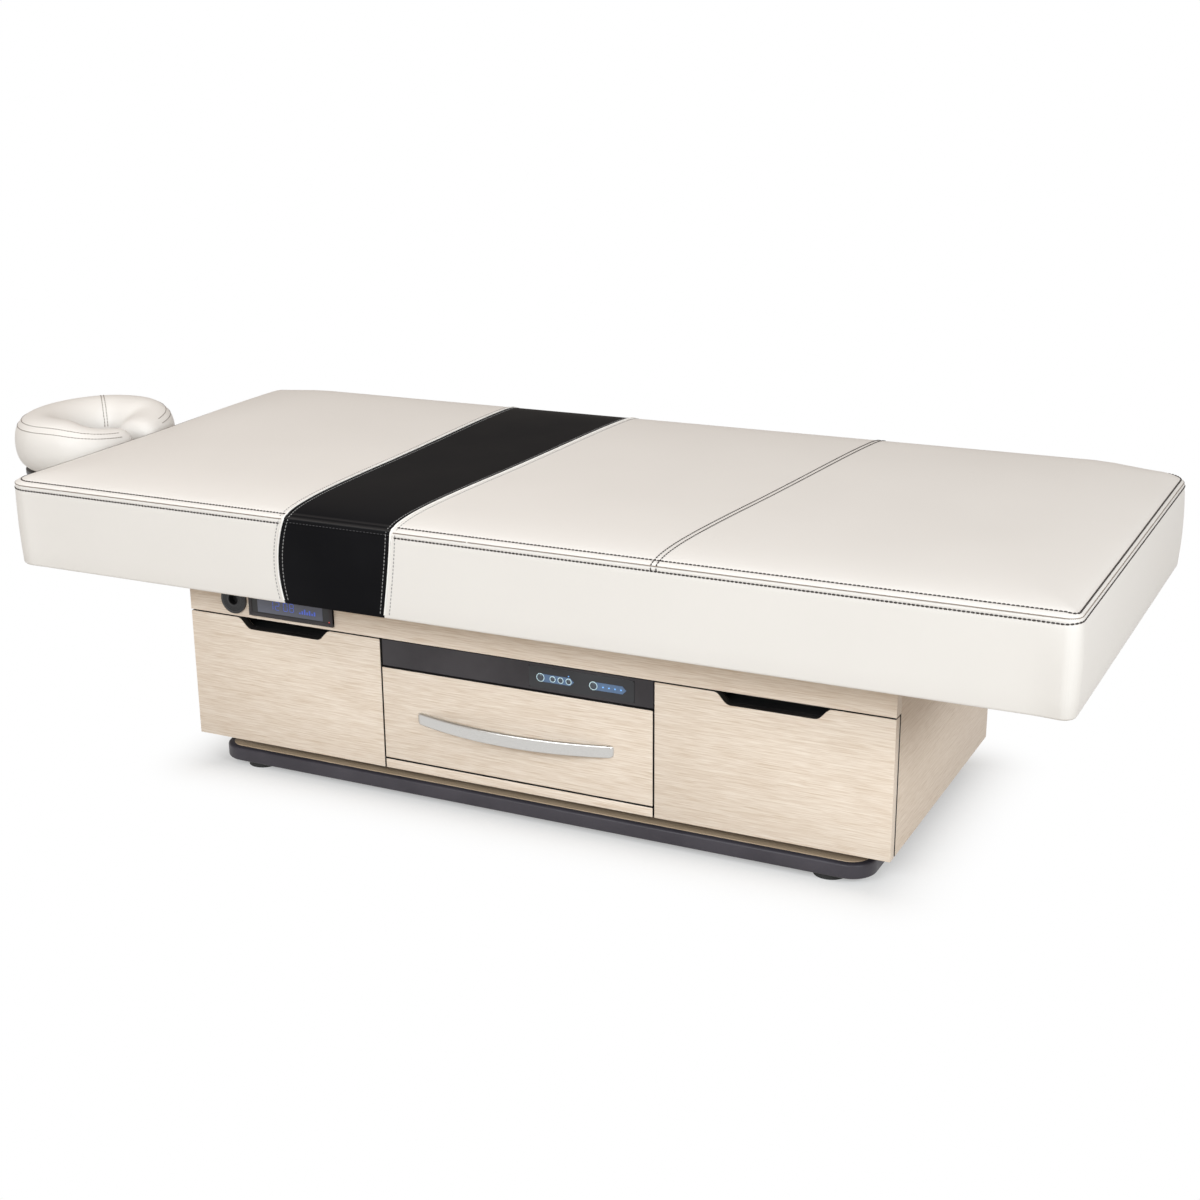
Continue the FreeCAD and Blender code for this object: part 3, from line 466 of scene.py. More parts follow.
# %% Metals
brushed_nickel = finish_of("brushed_nickel", hairlines, (0.58, 0.57, 0.55), (0.68, 0.67, 0.65),
                           ("Lines", 0.3, 0.7), (0.30, 0.36), "Lines", 0.05, 0.0001, Metallic=1.0)
column_aluminium = finish_of("column_aluminium", hairlines, (0.48, 0.49, 0.50), (0.58, 0.59, 0.60),
                             ("Smudge", 0.3, 0.7), (0.34, 0.44), "Lines", 0.05, 0.0001,
                             turn=(0, QUARTER_TURN, 0), Metallic=1.0)
zinc_steel = finish_of("zinc_steel", fine_speckle, (0.52, 0.53, 0.55), (0.66, 0.67, 0.69),
                       ("Cloud", 0.3, 0.7), (0.28, 0.42), "Speckle", 0.05, 0.0001, Metallic=1.0)
tub_steel = finish_of("tub_steel", hairlines, (0.50, 0.51, 0.52), (0.62, 0.63, 0.64),
                      ("Lines", 0.3, 0.7), (0.30, 0.42), "Lines", 0.08, 0.0001, Metallic=1.0)
print("metals", [metal.name for metal in (brushed_nickel, column_aluminium, zinc_steel, tub_steel)])

# %% Paint, plastic and rubber
dark_powder = moulded("dark_powder", (0.022, 0.022, 0.024), (0.034, 0.034, 0.037), (0.44, 0.56), 0.25, 0.0002)
charcoal_bumper = moulded("charcoal_bumper", (0.042, 0.038, 0.047), (0.057, 0.052, 0.063), (0.36, 0.46),
                          depth=0.0002, Specular_IOR_Level=0.3)
charcoal_panel = moulded("charcoal_panel", (0.046, 0.043, 0.047), (0.062, 0.058, 0.063), (0.38, 0.46), 0.08,
                         Specular_IOR_Level=0.12)
black_plastic = moulded("black_plastic", (0.011, 0.011, 0.012), (0.018, 0.018, 0.019), (0.36, 0.46), 0.12,
                        0.0002)
black_rubber = moulded("black_rubber", (0.012, 0.012, 0.012), (0.024, 0.024, 0.024), (0.62, 0.74), 0.25,
                       0.0003)
pad_film = moulded("pad_film", (0.016, 0.017, 0.020), (0.024, 0.025, 0.029), (0.30, 0.38))
button_grey = moulded("button_grey", (0.045, 0.055, 0.070), (0.062, 0.075, 0.092), (0.34, 0.44), 0.08)
print("moulded finishes, the last is", button_grey.name)


# %% Glass, print and small lights
def printed(name, dark, light, rough, **constants):
    """Glass, print or a small light: smooth, without a bump."""
    return finish_of(name, fine_speckle, dark, light, ("Cloud", 0.35, 0.65), rough, **constants)


screen_glass = printed("screen_glass", (0.095, 0.105, 0.145), (0.110, 0.120, 0.165), (0.16, 0.24))
pale_blue_print = printed("pale_blue_print", (0.085, 0.150, 0.270), (0.110, 0.185, 0.320), (0.40, 0.50))
grey_print = printed("grey_print", (0.60, 0.82, 0.90), (0.70, 0.90, 0.96), (0.40, 0.50))
blue_lamp = printed("blue_lamp", (0.10, 0.30, 0.62), (0.16, 0.40, 0.75), (0.20, 0.30),
                    Emission_Color=(0.20, 0.45, 0.95, 1), Emission_Strength=0.5)
blue_digits = printed("blue_digits", (0.05, 0.08, 0.38), (0.07, 0.12, 0.48), (0.30, 0.40),
                      Emission_Color=(0.10, 0.18, 0.85, 1), Emission_Strength=0.25)
red_lamp = printed("red_lamp", (0.55, 0.03, 0.03), (0.70, 0.05, 0.04), (0.25, 0.35),
                   Emission_Color=(1.0, 0.08, 0.05, 1), Emission_Strength=0.5)
print("finishes", len(bpy.data.materials))

# %% [markdown]
# ## Finishes of the imported pieces
# Every imported node keeps its shape and gets the finish of its material slot, except the
# bottom board, which is black as painted shade under the cabinet. Pieces that need a softer
# shape are replaced further down.

# %% Dress the imported nodes
finish_of_slot = {
    "oak_laminate": oak_along, "carcass_board": melamine, "charcoal_edging": charcoal_bumper,
    "black_rubber": black_rubber, "dark_steel": dark_powder, "zinc_steel": zinc_steel,
    "column_aluminium": column_aluminium, "black_plastic": black_plastic, "foam": grey_foam,
    "ivory_vinyl": ivory_vinyl, "black_vinyl": black_vinyl, "screen_glass": screen_glass,
    "charcoal_panel": charcoal_panel, "pad_film": pad_film, "blue_lamp": blue_lamp,
    "button_grey": button_grey, "tub_steel": tub_steel, "brushed_nickel": brushed_nickel,
    "face_rest_metal": dark_powder}
for name, piece in nodes.items():
    piece.data.materials.clear()
    # The bottom board is painted black, as painted shade in the gap under the cabinet.
    piece.data.materials.append(painted_gap_shade if name == "bottom_board" else finish_of_slot[slot_of[name]])
print("dressed", len(nodes), "nodes")

# %% [markdown]
# ## From a working mesh to a finished piece
# Each new piece is shaped as a bmesh in its final place. One helper merges doubled points,
# turns the faces outwards, smooths what is rounder than an edge, and hangs the piece on the
# body that carries it.

# %% Piece helpers
def finished_piece(name, shape, finish, body, stands_for=(), smooth=32, trim=None):
    """Turns a bmesh into a piece of the table. trim is a second finish and the test of its faces."""
    bmesh.ops.remove_doubles(shape, verts=shape.verts, dist=1e-6)
    bmesh.ops.recalc_face_normals(shape, faces=shape.faces)
    if trim is not None:
        for face in shape.faces:
            face.material_index = int(trim[1](face))
    mesh = bpy.data.meshes.new(name)
    shape.to_mesh(mesh)
    shape.free()
    mesh.shade_smooth()
    mesh.set_sharp_from_angle(angle=math.radians(smooth))
    mesh.materials.append(finish)
    if trim is not None:
        mesh.materials.append(trim[0])
    piece = bpy.data.objects.new(name, mesh)
    bpy.context.collection.objects.link(piece)
    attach(piece, body)
    if stands_for:
        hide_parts(*stands_for)
    print(name, len(mesh.polygons), "faces")
    return piece


def box_shape(low, high):
    """A bmesh box between two corners."""
    low = Vector(low)
    high = Vector(high)
    shape = bmesh.new()
    bmesh.ops.create_cube(shape, size=1)
    bmesh.ops.scale(shape, vec=high - low, verts=shape.verts)
    bmesh.ops.translate(shape, vec=(low + high) / 2, verts=shape.verts)
    return shape


def rounded(shape, edges, radius, segments):
    """Rounds some edges of a bmesh."""
    return bmesh.ops.bevel(shape, geom=list(edges), offset=radius, offset_type="OFFSET", segments=segments,
                           profile=0.5, affect="EDGES", clamp_overlap=True, material=-1)


def edges_along(shape, axis):
    """The edges of a bmesh that run along one axis."""
    found = []
    for edge in shape.edges:
        run = edge.verts[1].co - edge.verts[0].co
        if abs(run[axis]) > 0.999 * run.length:
            found.append(edge)
    return found


def rim_of(shape, looks):
    """The edges round the faces that pass a test."""
    return {edge for face in shape.faces if looks(face) for edge in face.edges}


def faces_front(face):
    """Whether a face looks to the front of the table."""
    return face.normal.y < -0.99


def pushed_back(shape, face, depth):
    """Extrudes one face of a bmesh to the back."""
    pushed = bmesh.ops.extrude_face_region(shape, geom=[face])
    moved = [item for item in pushed["geom"] if isinstance(item, bmesh.types.BMVert)]
    bmesh.ops.translate(shape, vec=(0, depth, 0), verts=moved)


def middle_of(node):
    """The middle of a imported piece."""
    low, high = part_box(node)
    return (low + high) / 2


# %% [markdown]
# ## The padded top
# The top is a long foam cushion with an ivory cover: a boxing wall all round, a crowned
# upper panel, and a seam where they meet. It could be a stretched box with a soft bevel, but
# the crown has to swell from the seam, so a box is sliced into rows and columns that are
# close together near the seam, and every row is then raised or drawn in by its own distance
# from the edge. Slicing keeps the corners round and the rows even.

# %% Measures of the padded top
HALF_LENGTH = (cover_high.x - cover_low.x) / 2
HALF_WIDTH = (cover_high.y - cover_low.y) / 2
COVER_BOTTOM = cover_low.z
BOXING = 0.151
SEAM = COVER_BOTTOM + BOXING
FOOT_CORNER = 0.022
CORNER = 0.046
STITCH_OFFSET = 0.0078
TOP_STITCH_OFFSET = 0.0125
print("padded top", round(2 * HALF_LENGTH, 3), round(2 * HALF_WIDTH, 3), "seam at", round(SEAM, 3))


def corner_radius(x, y):
    """The round of the nearest upright corner. The front corner at the foot is drawn tighter."""
    return FOOT_CORNER if x > TOP_CENTRE.x and y < 0 else CORNER


def edge_distance(x, y):
    """How far a point lies inside the rounded outline of the top, and the way out."""
    corner = corner_radius(x, y)
    across = Vector((abs(x - TOP_CENTRE.x) - (HALF_LENGTH - corner), abs(y) - (HALF_WIDTH - corner)))
    sign = Vector((math.copysign(1, x - TOP_CENTRE.x), math.copysign(1, y)))
    outside = Vector((max(across.x, 0), max(across.y, 0)))
    if outside.length > 1e-9:
        way = Vector((outside.x * sign.x, outside.y * sign.y)).normalized()
    elif across.x > across.y:
        way = Vector((sign.x, 0))
    else:
        way = Vector((0, sign.y))
    return corner - outside.length - min(max(across.x, across.y), 0), way


# %% Shares and grooves
GROOVE_WIDTH = 0.0024


def held(value):
    """Keeps a share between 0 and 1."""
    return min(max(value, 0), 1)


def eased(value):
    """A share between 0 and 1 that starts and ends softly."""
    share = held(value)
    return share * share * (3 - 2 * share)


def groove(distance, depth, width=GROOVE_WIDTH):
    """How deep the cover is drawn in at a distance from a sewn line."""
    return depth * math.exp(-(distance / width) ** 2)


# %% Crown of the upper panel
CROWN = 0.024
BACK_LIFT = 0.0055
FRONT_ROLL = 0.055
FRONT_ROLL_POWER = 0.7
BACK_ROLL = 0.016
BACK_ROLL_POWER = 0.9
PINCH = 0.0010
BACK_START = -0.10
BACK_RUN = 0.40
END_REACH = 0.16
END_RUN = 0.14
FOOT_SOFTENING = 0.8
HEAD_SOFTENING = 0.5


def crown_rise(distance, backward=0.0):
    """How high the upper panel stands over the seam at a distance from the edge.
    backward is 0 at the front and 1 at the back, where the cover is fuller."""
    distance = max(distance, 0)
    front_roll = 1 - math.exp(-(distance / FRONT_ROLL) ** FRONT_ROLL_POWER)
    back_roll = 1 - math.exp(-(distance / BACK_ROLL) ** BACK_ROLL_POWER)
    share = held(backward)
    rolled = front_roll * (1 - share) + back_roll * share
    return (CROWN + BACK_LIFT * share) * rolled - groove(distance - TOP_STITCH_OFFSET, PINCH)


def back_share(y):
    """0 along the front of the top, rising to 1 at the back."""
    return eased((y - BACK_START) / BACK_RUN)


def top_rise(x, y, distance):
    """The crown over the seam, rolled off again towards the two ends."""
    near_end = eased((abs(x - TOP_CENTRE.x) - HALF_LENGTH + END_REACH) / END_RUN)
    softer = near_end * (FOOT_SOFTENING if x > TOP_CENTRE.x else HEAD_SOFTENING)
    return crown_rise(distance, back_share(y) * (1 - softer))


# %% Drawing in of the boxing wall
BOTTOM_TUCK = 0.006
TUCK_POWER = 2.2
SIDE_DRAW = 0.0025
FULL_SWELL = 0.0065
DRAW_POWER = 0.8
SEAM_GROOVE = 0.0014
SEAM_GROOVE_WIDTH = 0.0022
STITCH_GROOVE = 0.0007
FULL_REACH = 0.06
FULL_RUN = 0.05
HEAD_FULLNESS = 0.6


def fullness(x, y):
    """How full the boxing wall stands, most at the back and at the foot end."""
    near_end = held((abs(x - TOP_CENTRE.x) - HALF_LENGTH + FULL_REACH) / FULL_RUN)
    return max(back_share(y), near_end * (1.0 if x > TOP_CENTRE.x else HEAD_FULLNESS))


def wall_inset(z, full=0.0):
    """How far the boxing wall is drawn in at a height."""
    share = held((z - COVER_BOTTOM) / BOXING)
    below_seam = SEAM - z
    tuck = BOTTOM_TUCK * (1 - full) * (1 - share) ** TUCK_POWER
    draw = (SIDE_DRAW - FULL_SWELL * full) * math.sin(math.pi * share) ** DRAW_POWER
    seam_groove = groove(below_seam, SEAM_GROOVE, SEAM_GROOVE_WIDTH)
    return tuck + draw + seam_groove + groove(below_seam - STITCH_OFFSET, STITCH_GROOVE)


# %% Slice the cushion
BOTTOM_ROUND = 0.004
WALL_CUTS = (0.0012, 0.0028, 0.0050, 0.0066, 0.0078, 0.0092, 0.0115, 0.017, 0.028, 0.045, 0.070, 0.095, 0.118)
RIM_CUTS = (0.0016, 0.0036, 0.0056, 0.0078, 0.0102, 0.0115, 0.0125, 0.0136, 0.0152, 0.021, 0.029, 0.039)
TOP_CUTS = (0.052, 0.070, 0.095, 0.125, 0.160, 0.205, 0.260, 0.320, 0.380)
CROSS_CUT_PITCH = 0.058
CROSS_CUTS = 9


def slice_across(shape, place, normal):
    """Cuts a bmesh along a plane and keeps both halves."""
    everything = list(shape.verts) + list(shape.edges) + list(shape.faces)
    bmesh.ops.bisect_plane(shape, geom=everything, dist=1e-6, plane_co=place, plane_no=normal)


cushion = box_shape((TOP_CENTRE.x - HALF_LENGTH, -HALF_WIDTH, COVER_BOTTOM),
                    (TOP_CENTRE.x + HALF_LENGTH, HALF_WIDTH, SEAM))
corner_edges = edges_along(cushion, 2)
foot_front = [edge for edge in corner_edges if corner_radius(*edge.verts[0].co.xy) == FOOT_CORNER]
rounded(cushion, [edge for edge in corner_edges if edge not in foot_front], CORNER, 12)
rounded(cushion, foot_front, FOOT_CORNER, 12)
bottom_edges = [edge for edge in cushion.edges if all(abs(v.co.z - COVER_BOTTOM) < 1e-6 for v in edge.verts)]
rounded(cushion, bottom_edges, BOTTOM_ROUND, 3)
for below in WALL_CUTS:
    slice_across(cushion, (0, 0, SEAM - below), (0, 0, 1))
for inset in RIM_CUTS + TOP_CUTS:
    for side in (-1, 1):
        slice_across(cushion, (TOP_CENTRE.x + side * (HALF_LENGTH - inset), 0, 0), (1, 0, 0))
        slice_across(cushion, (0, side * (HALF_WIDTH - inset), 0), (0, 1, 0))
for number in range(-CROSS_CUTS, CROSS_CUTS + 1):
    slice_across(cushion, (TOP_CENTRE.x + number * CROSS_CUT_PITCH, 0, 0), (1, 0, 0))
slice_across(cushion, (0, 0, 0), (0, 1, 0))
print("sliced cushion", len(cushion.faces), "faces")

# %% [markdown]
# The black band is sewn across the top, a little wider at the back than at the front. Its
# two edges are cut into the cushion as slanted planes before the swelling, and each face is
# marked with its panel, so that the ivory and the black panels share one flowing surface. On
# the front wall the band leans towards the head end, so the wall's points near it are eased
# sideways.

# %% Edges of the band
BAND_FRONT = (TOP_CENTRE.x - 0.3545, TOP_CENTRE.x - 0.1440)
BAND_REAR = (TOP_CENTRE.x - 0.3570, TOP_CENTRE.x - 0.0870)
HEAD_LEAN = 0.062
HEAD_LEAN_BOW = 0.052
FOOT_LEAN = 0.0225
FOOT_LEAN_POWER = 1.15
EASE_REACH = 0.25


def band_edge(side, y):
    """Where an edge of the band runs across the top, side 0 towards the head."""
    share = (y + HALF_WIDTH) / (2 * HALF_WIDTH)
    return BAND_FRONT[side] + (BAND_REAR[side] - BAND_FRONT[side]) * share


def band_plane(side):
    """A point of the upright plane along an edge of the band, and its normal towards +X."""
    run = Vector((BAND_REAR[side] - BAND_FRONT[side], 2 * HALF_WIDTH, 0)).normalized()
    return Vector((BAND_FRONT[side], -HALF_WIDTH, 0)), Vector((run.y, -run.x, 0))


def wall_ease(x, z):
    """How far a point of the front wall moves sideways, as the band leans towards the head."""
    share = held((SEAM - z) / BOXING)
    head_lean = HEAD_LEAN_BOW * share * share - HEAD_LEAN * share
    foot_lean = -FOOT_LEAN * share ** FOOT_LEAN_POWER
    head_edge, foot_edge = BAND_FRONT
    if x < head_edge:
        return head_lean * max(0, 1 - (head_edge - x) / EASE_REACH)
    if x > foot_edge:
        return foot_lean * max(0, 1 - (x - foot_edge) / EASE_REACH)
    along = (x - head_edge) / (foot_edge - head_edge)
    return head_lean * (1 - along) + foot_lean * along


for side in (0, 1):
    slice_across(cushion, *band_plane(side))
for face in cushion.faces:
    middle = face.calc_center_median()
    face.material_index = sum(middle.x > band_edge(side, middle.y) for side in (0, 1))
print("marked panels", sorted({face.material_index for face in cushion.faces}))

# %% Swell the cushion
WALL_REACH = 0.012
for vertex in cushion.verts:
    x, y, z = vertex.co
    distance, way = edge_distance(x, y)
    if z > SEAM - 1e-6 and distance > 1e-5:
        vertex.co.z = SEAM + top_rise(x, y, distance)
        continue
    if distance < WALL_REACH:
        inset = wall_inset(z, fullness(x, y)) * (1 - distance / WALL_REACH)
        vertex.co.x -= way.x * inset
        vertex.co.y -= way.y * inset
        if y < -HALF_WIDTH + WALL_REACH:
            vertex.co.x += wall_ease(x, z)
print("swollen top reaches", round(max(v.co.z for v in cushion.verts), 4))

# %% [markdown]
# The swollen cushion is parted at the band into closed pieces: the head panel and the foot
# panel in ivory, and the band in black. The marks on the faces say which is which, and the
# open side of each part is closed, so every piece is a solid cushion.

# %% Part the panels
def panel_of(source, number):
    """A closed copy of the faces of a bmesh that carry one mark."""
    part = source.copy()
    spare = [face for face in part.faces if face.material_index != number]
    bmesh.ops.delete(part, geom=spare, context="FACES")
    rim = [edge for edge in part.edges if edge.is_boundary]
    bmesh.ops.holes_fill(part, edges=rim, sides=0)
    for face in part.faces:
        face.material_index = 0
    return part


head_panel, band_panel, foot_panel = [panel_of(cushion, number) for number in range(3)]
cushion.free()
padded_head = finished_piece("padded_head_panel", head_panel, ivory_vinyl, "cabinet",
                             ("pale_cover", "mattress_core"), smooth=60)
padded_foot = finished_piece("padded_foot_panel", foot_panel, ivory_vinyl, "cabinet",
                             ("pale_cover",), smooth=60)
padded_band = finished_piece("padded_band", band_panel, black_vinyl, "cabinet",
                             ("band_cover",), smooth=60)

# %% [markdown]
# ## Seams, thread and piping
# A row of thread could be painted on, but up close it has to catch the light, so each
# stitch is a small bead, laid along a path on the swollen cover. A path is a list of points
# that a rule walks over the top and down the walls.

# %% Paths on the cover
FRONTWARD = Vector((0, -1))
BACKWARD = Vector((0, 1))


def wall_point(spot, way, z, out=0.0):
    """A point of the boxing wall under a point of the outline, with the drawing in."""
    inset = wall_inset(z, fullness(spot.x, spot.y)) - out
    ease = wall_ease(spot.x, z) if way.y < -0.99 else 0
    return Vector((spot.x - way.x * inset + ease, spot.y - way.y * inset, z))


def outline_spot(length):
    """A point of the rounded outline and the way out, from the middle of the front edge towards the foot."""
    spot = Vector((TOP_CENTRE.x, -HALF_WIDTH))
    heading = Vector((1, 0))
    for end_x, end_y in ((1, -1), (1, 1), (-1, 1), (-1, -1), (1, -1)):
        outward = Vector((heading.y, -heading.x))
        radius = corner_radius(TOP_CENTRE.x + end_x, end_y)
        pivot = Vector((TOP_CENTRE.x + end_x * (HALF_LENGTH - radius), end_y * (HALF_WIDTH - radius)))
        straight = (pivot - spot).dot(heading)
        if length <= straight:
            return spot + heading * length, outward
        length -= straight
        if length <= math.pi / 2 * radius:
            turned = outward * math.cos(length / radius) + heading * math.sin(length / radius)
            return pivot + turned * radius, turned
        length -= math.pi / 2 * radius
        spot = pivot + heading * radius
        heading = Vector((-heading.y, heading.x))
    raise ValueError("past the end of the outline")


def outline_length():
    """The whole way round the rounded outline."""
    return 4 * (HALF_LENGTH + HALF_WIDTH) - (2 - math.pi / 2) * (3 * CORNER + FOOT_CORNER)


def under_band(spot, margin=0.0):
    """Whether a point of the outline lies on the band."""
    return band_edge(0, spot.y) - margin < spot.x < band_edge(1, spot.y) + margin


# %% Stitch maker
THREAD_FLATNESS = 0.7
bead_shape = bmesh.new()
bmesh.ops.create_uvsphere(bead_shape, u_segments=6, v_segments=4, radius=1)
bead_mesh = bpy.data.meshes.new("thread_bead")
bead_shape.to_mesh(bead_mesh)
bead_shape.free()


def lay_stitches(shape, path, pitch, length, radius):
    """Lays a bead of thread every pitch along a path of points and surface normals."""
    walked = 0.0
    due = pitch / 2
    count = 0
    for (first, normal), (second, _) in zip(path, path[1:]):
        step = (second - first).length
        while step > 0 and due <= walked + step:
            spot = first.lerp(second, (due - walked) / step)
            along = (second - first).normalized()
            side = normal.cross(along).normalized()
            turn = Matrix((side, along.cross(side), along)).transposed().to_4x4()
            size = Matrix.Diagonal((radius, radius * THREAD_FLATNESS, length / 2, 1))
            bead = Matrix.Translation(spot) @ turn @ size
            bead_mesh.transform(bead)
            shape.from_mesh(bead_mesh)
            bead_mesh.transform(bead.inverted())
            due += pitch
            count += 1
        walked += step
    return count


def split_runs(path, keep):
    """Breaks a path where its points are not to be sewn."""
    runs = [[]]
    for spot in path:
        if keep(spot[0]):
            runs[-1].append(spot)
        elif runs[-1]:
            runs.append([])
    return [run for run in runs if len(run) > 1]


# %% [markdown]
# The seam round the top has a fold between two rows of dark topstitching, one on the upper
# panel and one on the wall; a thin taupe cord sunk in the fold is painted shade in its crease.
# The rows stop at the band, which is sewn on as one piece.

# %% Topstitching round the top
STITCH_PITCH = 0.0066
THREAD_LIFT = 0.0003
RIM_STEP = 0.006
FOOT_WALL_DRAW = 0.3
FOOT_TOP_DRAW = 0.0062
STITCH_MARGIN = 0.004


def rim_path(step, on_wall):
    """A row of points round the top, on the wall or on the upper panel.
    At the foot end the row draws nearer to the seam."""
    path = []
    count = int(outline_length() / step)
    for number in range(count + 1):
        along = number * outline_length() / count
        spot, way = outline_spot(along - 1e-4 if number == count else along)
        footward = max(way.x, 0)
        if on_wall:
            point = wall_point(spot, way, SEAM - STITCH_OFFSET * (1 - FOOT_WALL_DRAW * footward), THREAD_LIFT)
            normal = Vector((way.x, way.y, 0))
        else:
            offset = TOP_STITCH_OFFSET - FOOT_TOP_DRAW * footward
            x = spot.x - way.x * offset
            y = spot.y - way.y * offset
            point = Vector((x, y, SEAM + top_rise(x, y, offset) + THREAD_LIFT))
            normal = Vector((way.x * 0.5, way.y * 0.5, 0.85)).normalized()
        path.append((point, normal))
    return path


rim_thread = bmesh.new()
sewn = 0
for on_wall in (False, True):
    for run in split_runs(rim_path(RIM_STEP, on_wall), lambda p: not under_band(p, STITCH_MARGIN)):
        sewn += lay_stitches(rim_thread, run, STITCH_PITCH, length=0.0063, radius=0.0017)
print("rim stitches", sewn)
finished_piece("rim_topstitching", rim_thread, dark_thread, "cabinet", smooth=80)


# %% Fold of the seam, a dark cord of painted shade in its crease
FOLD_STEP = 0.004
FOLD_SINK = 0.0010
FOLD_LIFT = 0.0005
FOLD_MARGIN = 0.003


def tube_along(name, runs, radius, finish, body, sides=3):
    """A round cord of cloth along one or more lists of points, as a closed mesh."""
    line = bpy.data.curves.new(name, "CURVE")
    line.dimensions = "3D"
    line.bevel_depth = radius
    line.bevel_resolution = sides
    line.use_fill_caps = True
    for points in runs:
        spline = line.splines.new("POLY")
        spline.points.add(len(points) - 1)
        for spot, point in zip(spline.points, points):
            spot.co = (*point, 1)
    draft = bpy.data.objects.new(name + "_line", line)
    bpy.context.collection.objects.link(draft)
    bpy.context.view_layer.update()
    mesh = bpy.data.meshes.new_from_object(draft.evaluated_get(bpy.context.evaluated_depsgraph_get()))
    bpy.data.objects.remove(draft)
    shape = bmesh.new()
    shape.from_mesh(mesh)
    bpy.data.meshes.remove(mesh)
    return finished_piece(name, shape, finish, body, smooth=60)


seam_path = []
for number in range(int(outline_length() / FOLD_STEP) + 1):
    spot, way = outline_spot(min(number * FOLD_STEP, outline_length() - 1e-4))
    point = Vector((spot.x - way.x * FOLD_SINK, spot.y - way.y * FOLD_SINK, SEAM + FOLD_LIFT))
    seam_path.append((point, way))
fold_runs = split_runs(seam_path, lambda p: not under_band(p, FOLD_MARGIN))
tube_along("rim_seam_crease_shade", [[point for point, _ in run] for run in fold_runs], 0.0009, seam_crease_shade, "cabinet",
           sides=1)


# %% [markdown]
# ### Edges of the band
# White piping is caught in the seam along both edges of the band, with a row of grey thread
# on either side of it. The path goes up the front wall, over the top and down the back.

# %% Path over the top
def over_the_top(edge_at, front_heights, back_heights, wall_out, top_out, step):
    """A path of points and normals up the front wall, over the top and down the back wall.
    edge_at gives the place along the table for a place across it."""
    path = []
    for z in front_heights:
        point = wall_point(Vector((edge_at(-HALF_WIDTH), -HALF_WIDTH)), FRONTWARD, z, wall_out)
        path.append((point, FRONTWARD.to_3d()))
    for number in range(1, int(2 * HALF_WIDTH / step)):
        y = -HALF_WIDTH + number * step
        rise = crown_rise(HALF_WIDTH - abs(y), back_share(y))
        path.append((Vector((edge_at(y), y, SEAM + rise + top_out)), Vector((0, 0, 1))))
    for z in back_heights:
        point = wall_point(Vector((edge_at(HALF_WIDTH), HALF_WIDTH)), BACKWARD, z, wall_out)
        path.append((point, BACKWARD.to_3d()))
    return path


# %% Piping and thread of the band
BAND_BOTTOM = 0.006
BAND_STEPS = 26
BAND_STEP = 0.006
PIPING_LIFT = 0.0006
BAND_THREAD_LIFT = 0.0002
IVORY_ROW = 0.0085
BLACK_ROW = 0.0090
band_heights = [COVER_BOTTOM + BAND_BOTTOM + (BOXING - BAND_BOTTOM) * n / BAND_STEPS
                for n in range(BAND_STEPS + 1)]


def beside_band(side, offset, out):
    """A path across the table beside an edge of the band."""
    return over_the_top(lambda y: band_edge(side, y) + offset, band_heights, reversed(band_heights), out, out,
                        BAND_STEP)


piping_runs = [[point for point, _ in beside_band(side, 0, PIPING_LIFT)] for side in (0, 1)]
tube_along("band_piping", piping_runs, 0.0015, white_piping, "cabinet", sides=2)
band_thread = bmesh.new()
sewn = 0
for side, inward in ((0, 1), (1, -1)):
    for offset in (-IVORY_ROW * inward, BLACK_ROW * inward):
        row = beside_band(side, offset, BAND_THREAD_LIFT)
        sewn += lay_stitches(band_thread, row, STITCH_PITCH, length=0.0052, radius=0.00085)
print("band stitches", sewn)
finished_piece("band_topstitching", band_thread, grey_thread, "cabinet", smooth=80)

# %% Thread of the band's own seam
BAND_SEAM_OFFSET = 0.004
BAND_SEAM_STEPS = 40
cross_band = bmesh.new()
sewn = 0
for y, way in ((-HALF_WIDTH, FRONTWARD), (HALF_WIDTH, BACKWARD)):
    row = []
    for number in range(BAND_SEAM_STEPS + 1):
        x = band_edge(0, y) + (band_edge(1, y) - band_edge(0, y)) * number / BAND_SEAM_STEPS
        point = wall_point(Vector((x, y)), way, SEAM - BAND_SEAM_OFFSET, BAND_THREAD_LIFT)
        row.append((point, way.to_3d()))
    sewn += lay_stitches(cross_band, row, STITCH_PITCH, length=0.0050, radius=0.00075)
print("band seam stitches", sewn)
finished_piece("band_seam_topstitching", cross_band, tonal_thread, "cabinet", smooth=80)

# %% [markdown]
# ### Cross seam
# Towards the foot a double row of thread crosses the upper panel at a slight slant. It
# starts at the lower topstitch of the front wall and runs to the back.

# %% Cross seam
CROSS_FRONT = TOP_CENTRE.x + 0.3235
CROSS_SLANT = 0.1119
CROSS_HALF_GAP = 0.0045
CROSS_WALL_STEPS = 6
CROSS_STEP = 0.002
CROSS_WALL_LIFT = 0.0002
CROSS_TOP_LIFT = 0.0005
cross_heights = [SEAM - STITCH_OFFSET * (1 - n / CROSS_WALL_STEPS) for n in range(CROSS_WALL_STEPS + 1)]
cross_thread = bmesh.new()
sewn = 0
for offset in (-CROSS_HALF_GAP, CROSS_HALF_GAP):
    row = over_the_top(lambda y: CROSS_FRONT + offset + CROSS_SLANT * (y + HALF_WIDTH), cross_heights, (),
                       CROSS_WALL_LIFT, CROSS_TOP_LIFT, CROSS_STEP)
    sewn += lay_stitches(cross_thread, row, STITCH_PITCH, length=0.0056, radius=0.0012)
print("cross seam stitches", sewn)
finished_piece("cross_seam_topstitching", cross_thread, dark_thread, "cabinet", smooth=80)

# %% [markdown]
# ## Face rest cushion
# The cushion is a soft horseshoe of foam in the same ivory vinyl, full at the brow and
# lower where its arms close in towards the table, the near arm narrowing to its tip. A round
# section could be spun, but its size changes on the way, so sections are set along the curve
# and bridged one to the next.
# A short cloth simulation then puffs the cover, as stuffing does, and stitches follow.

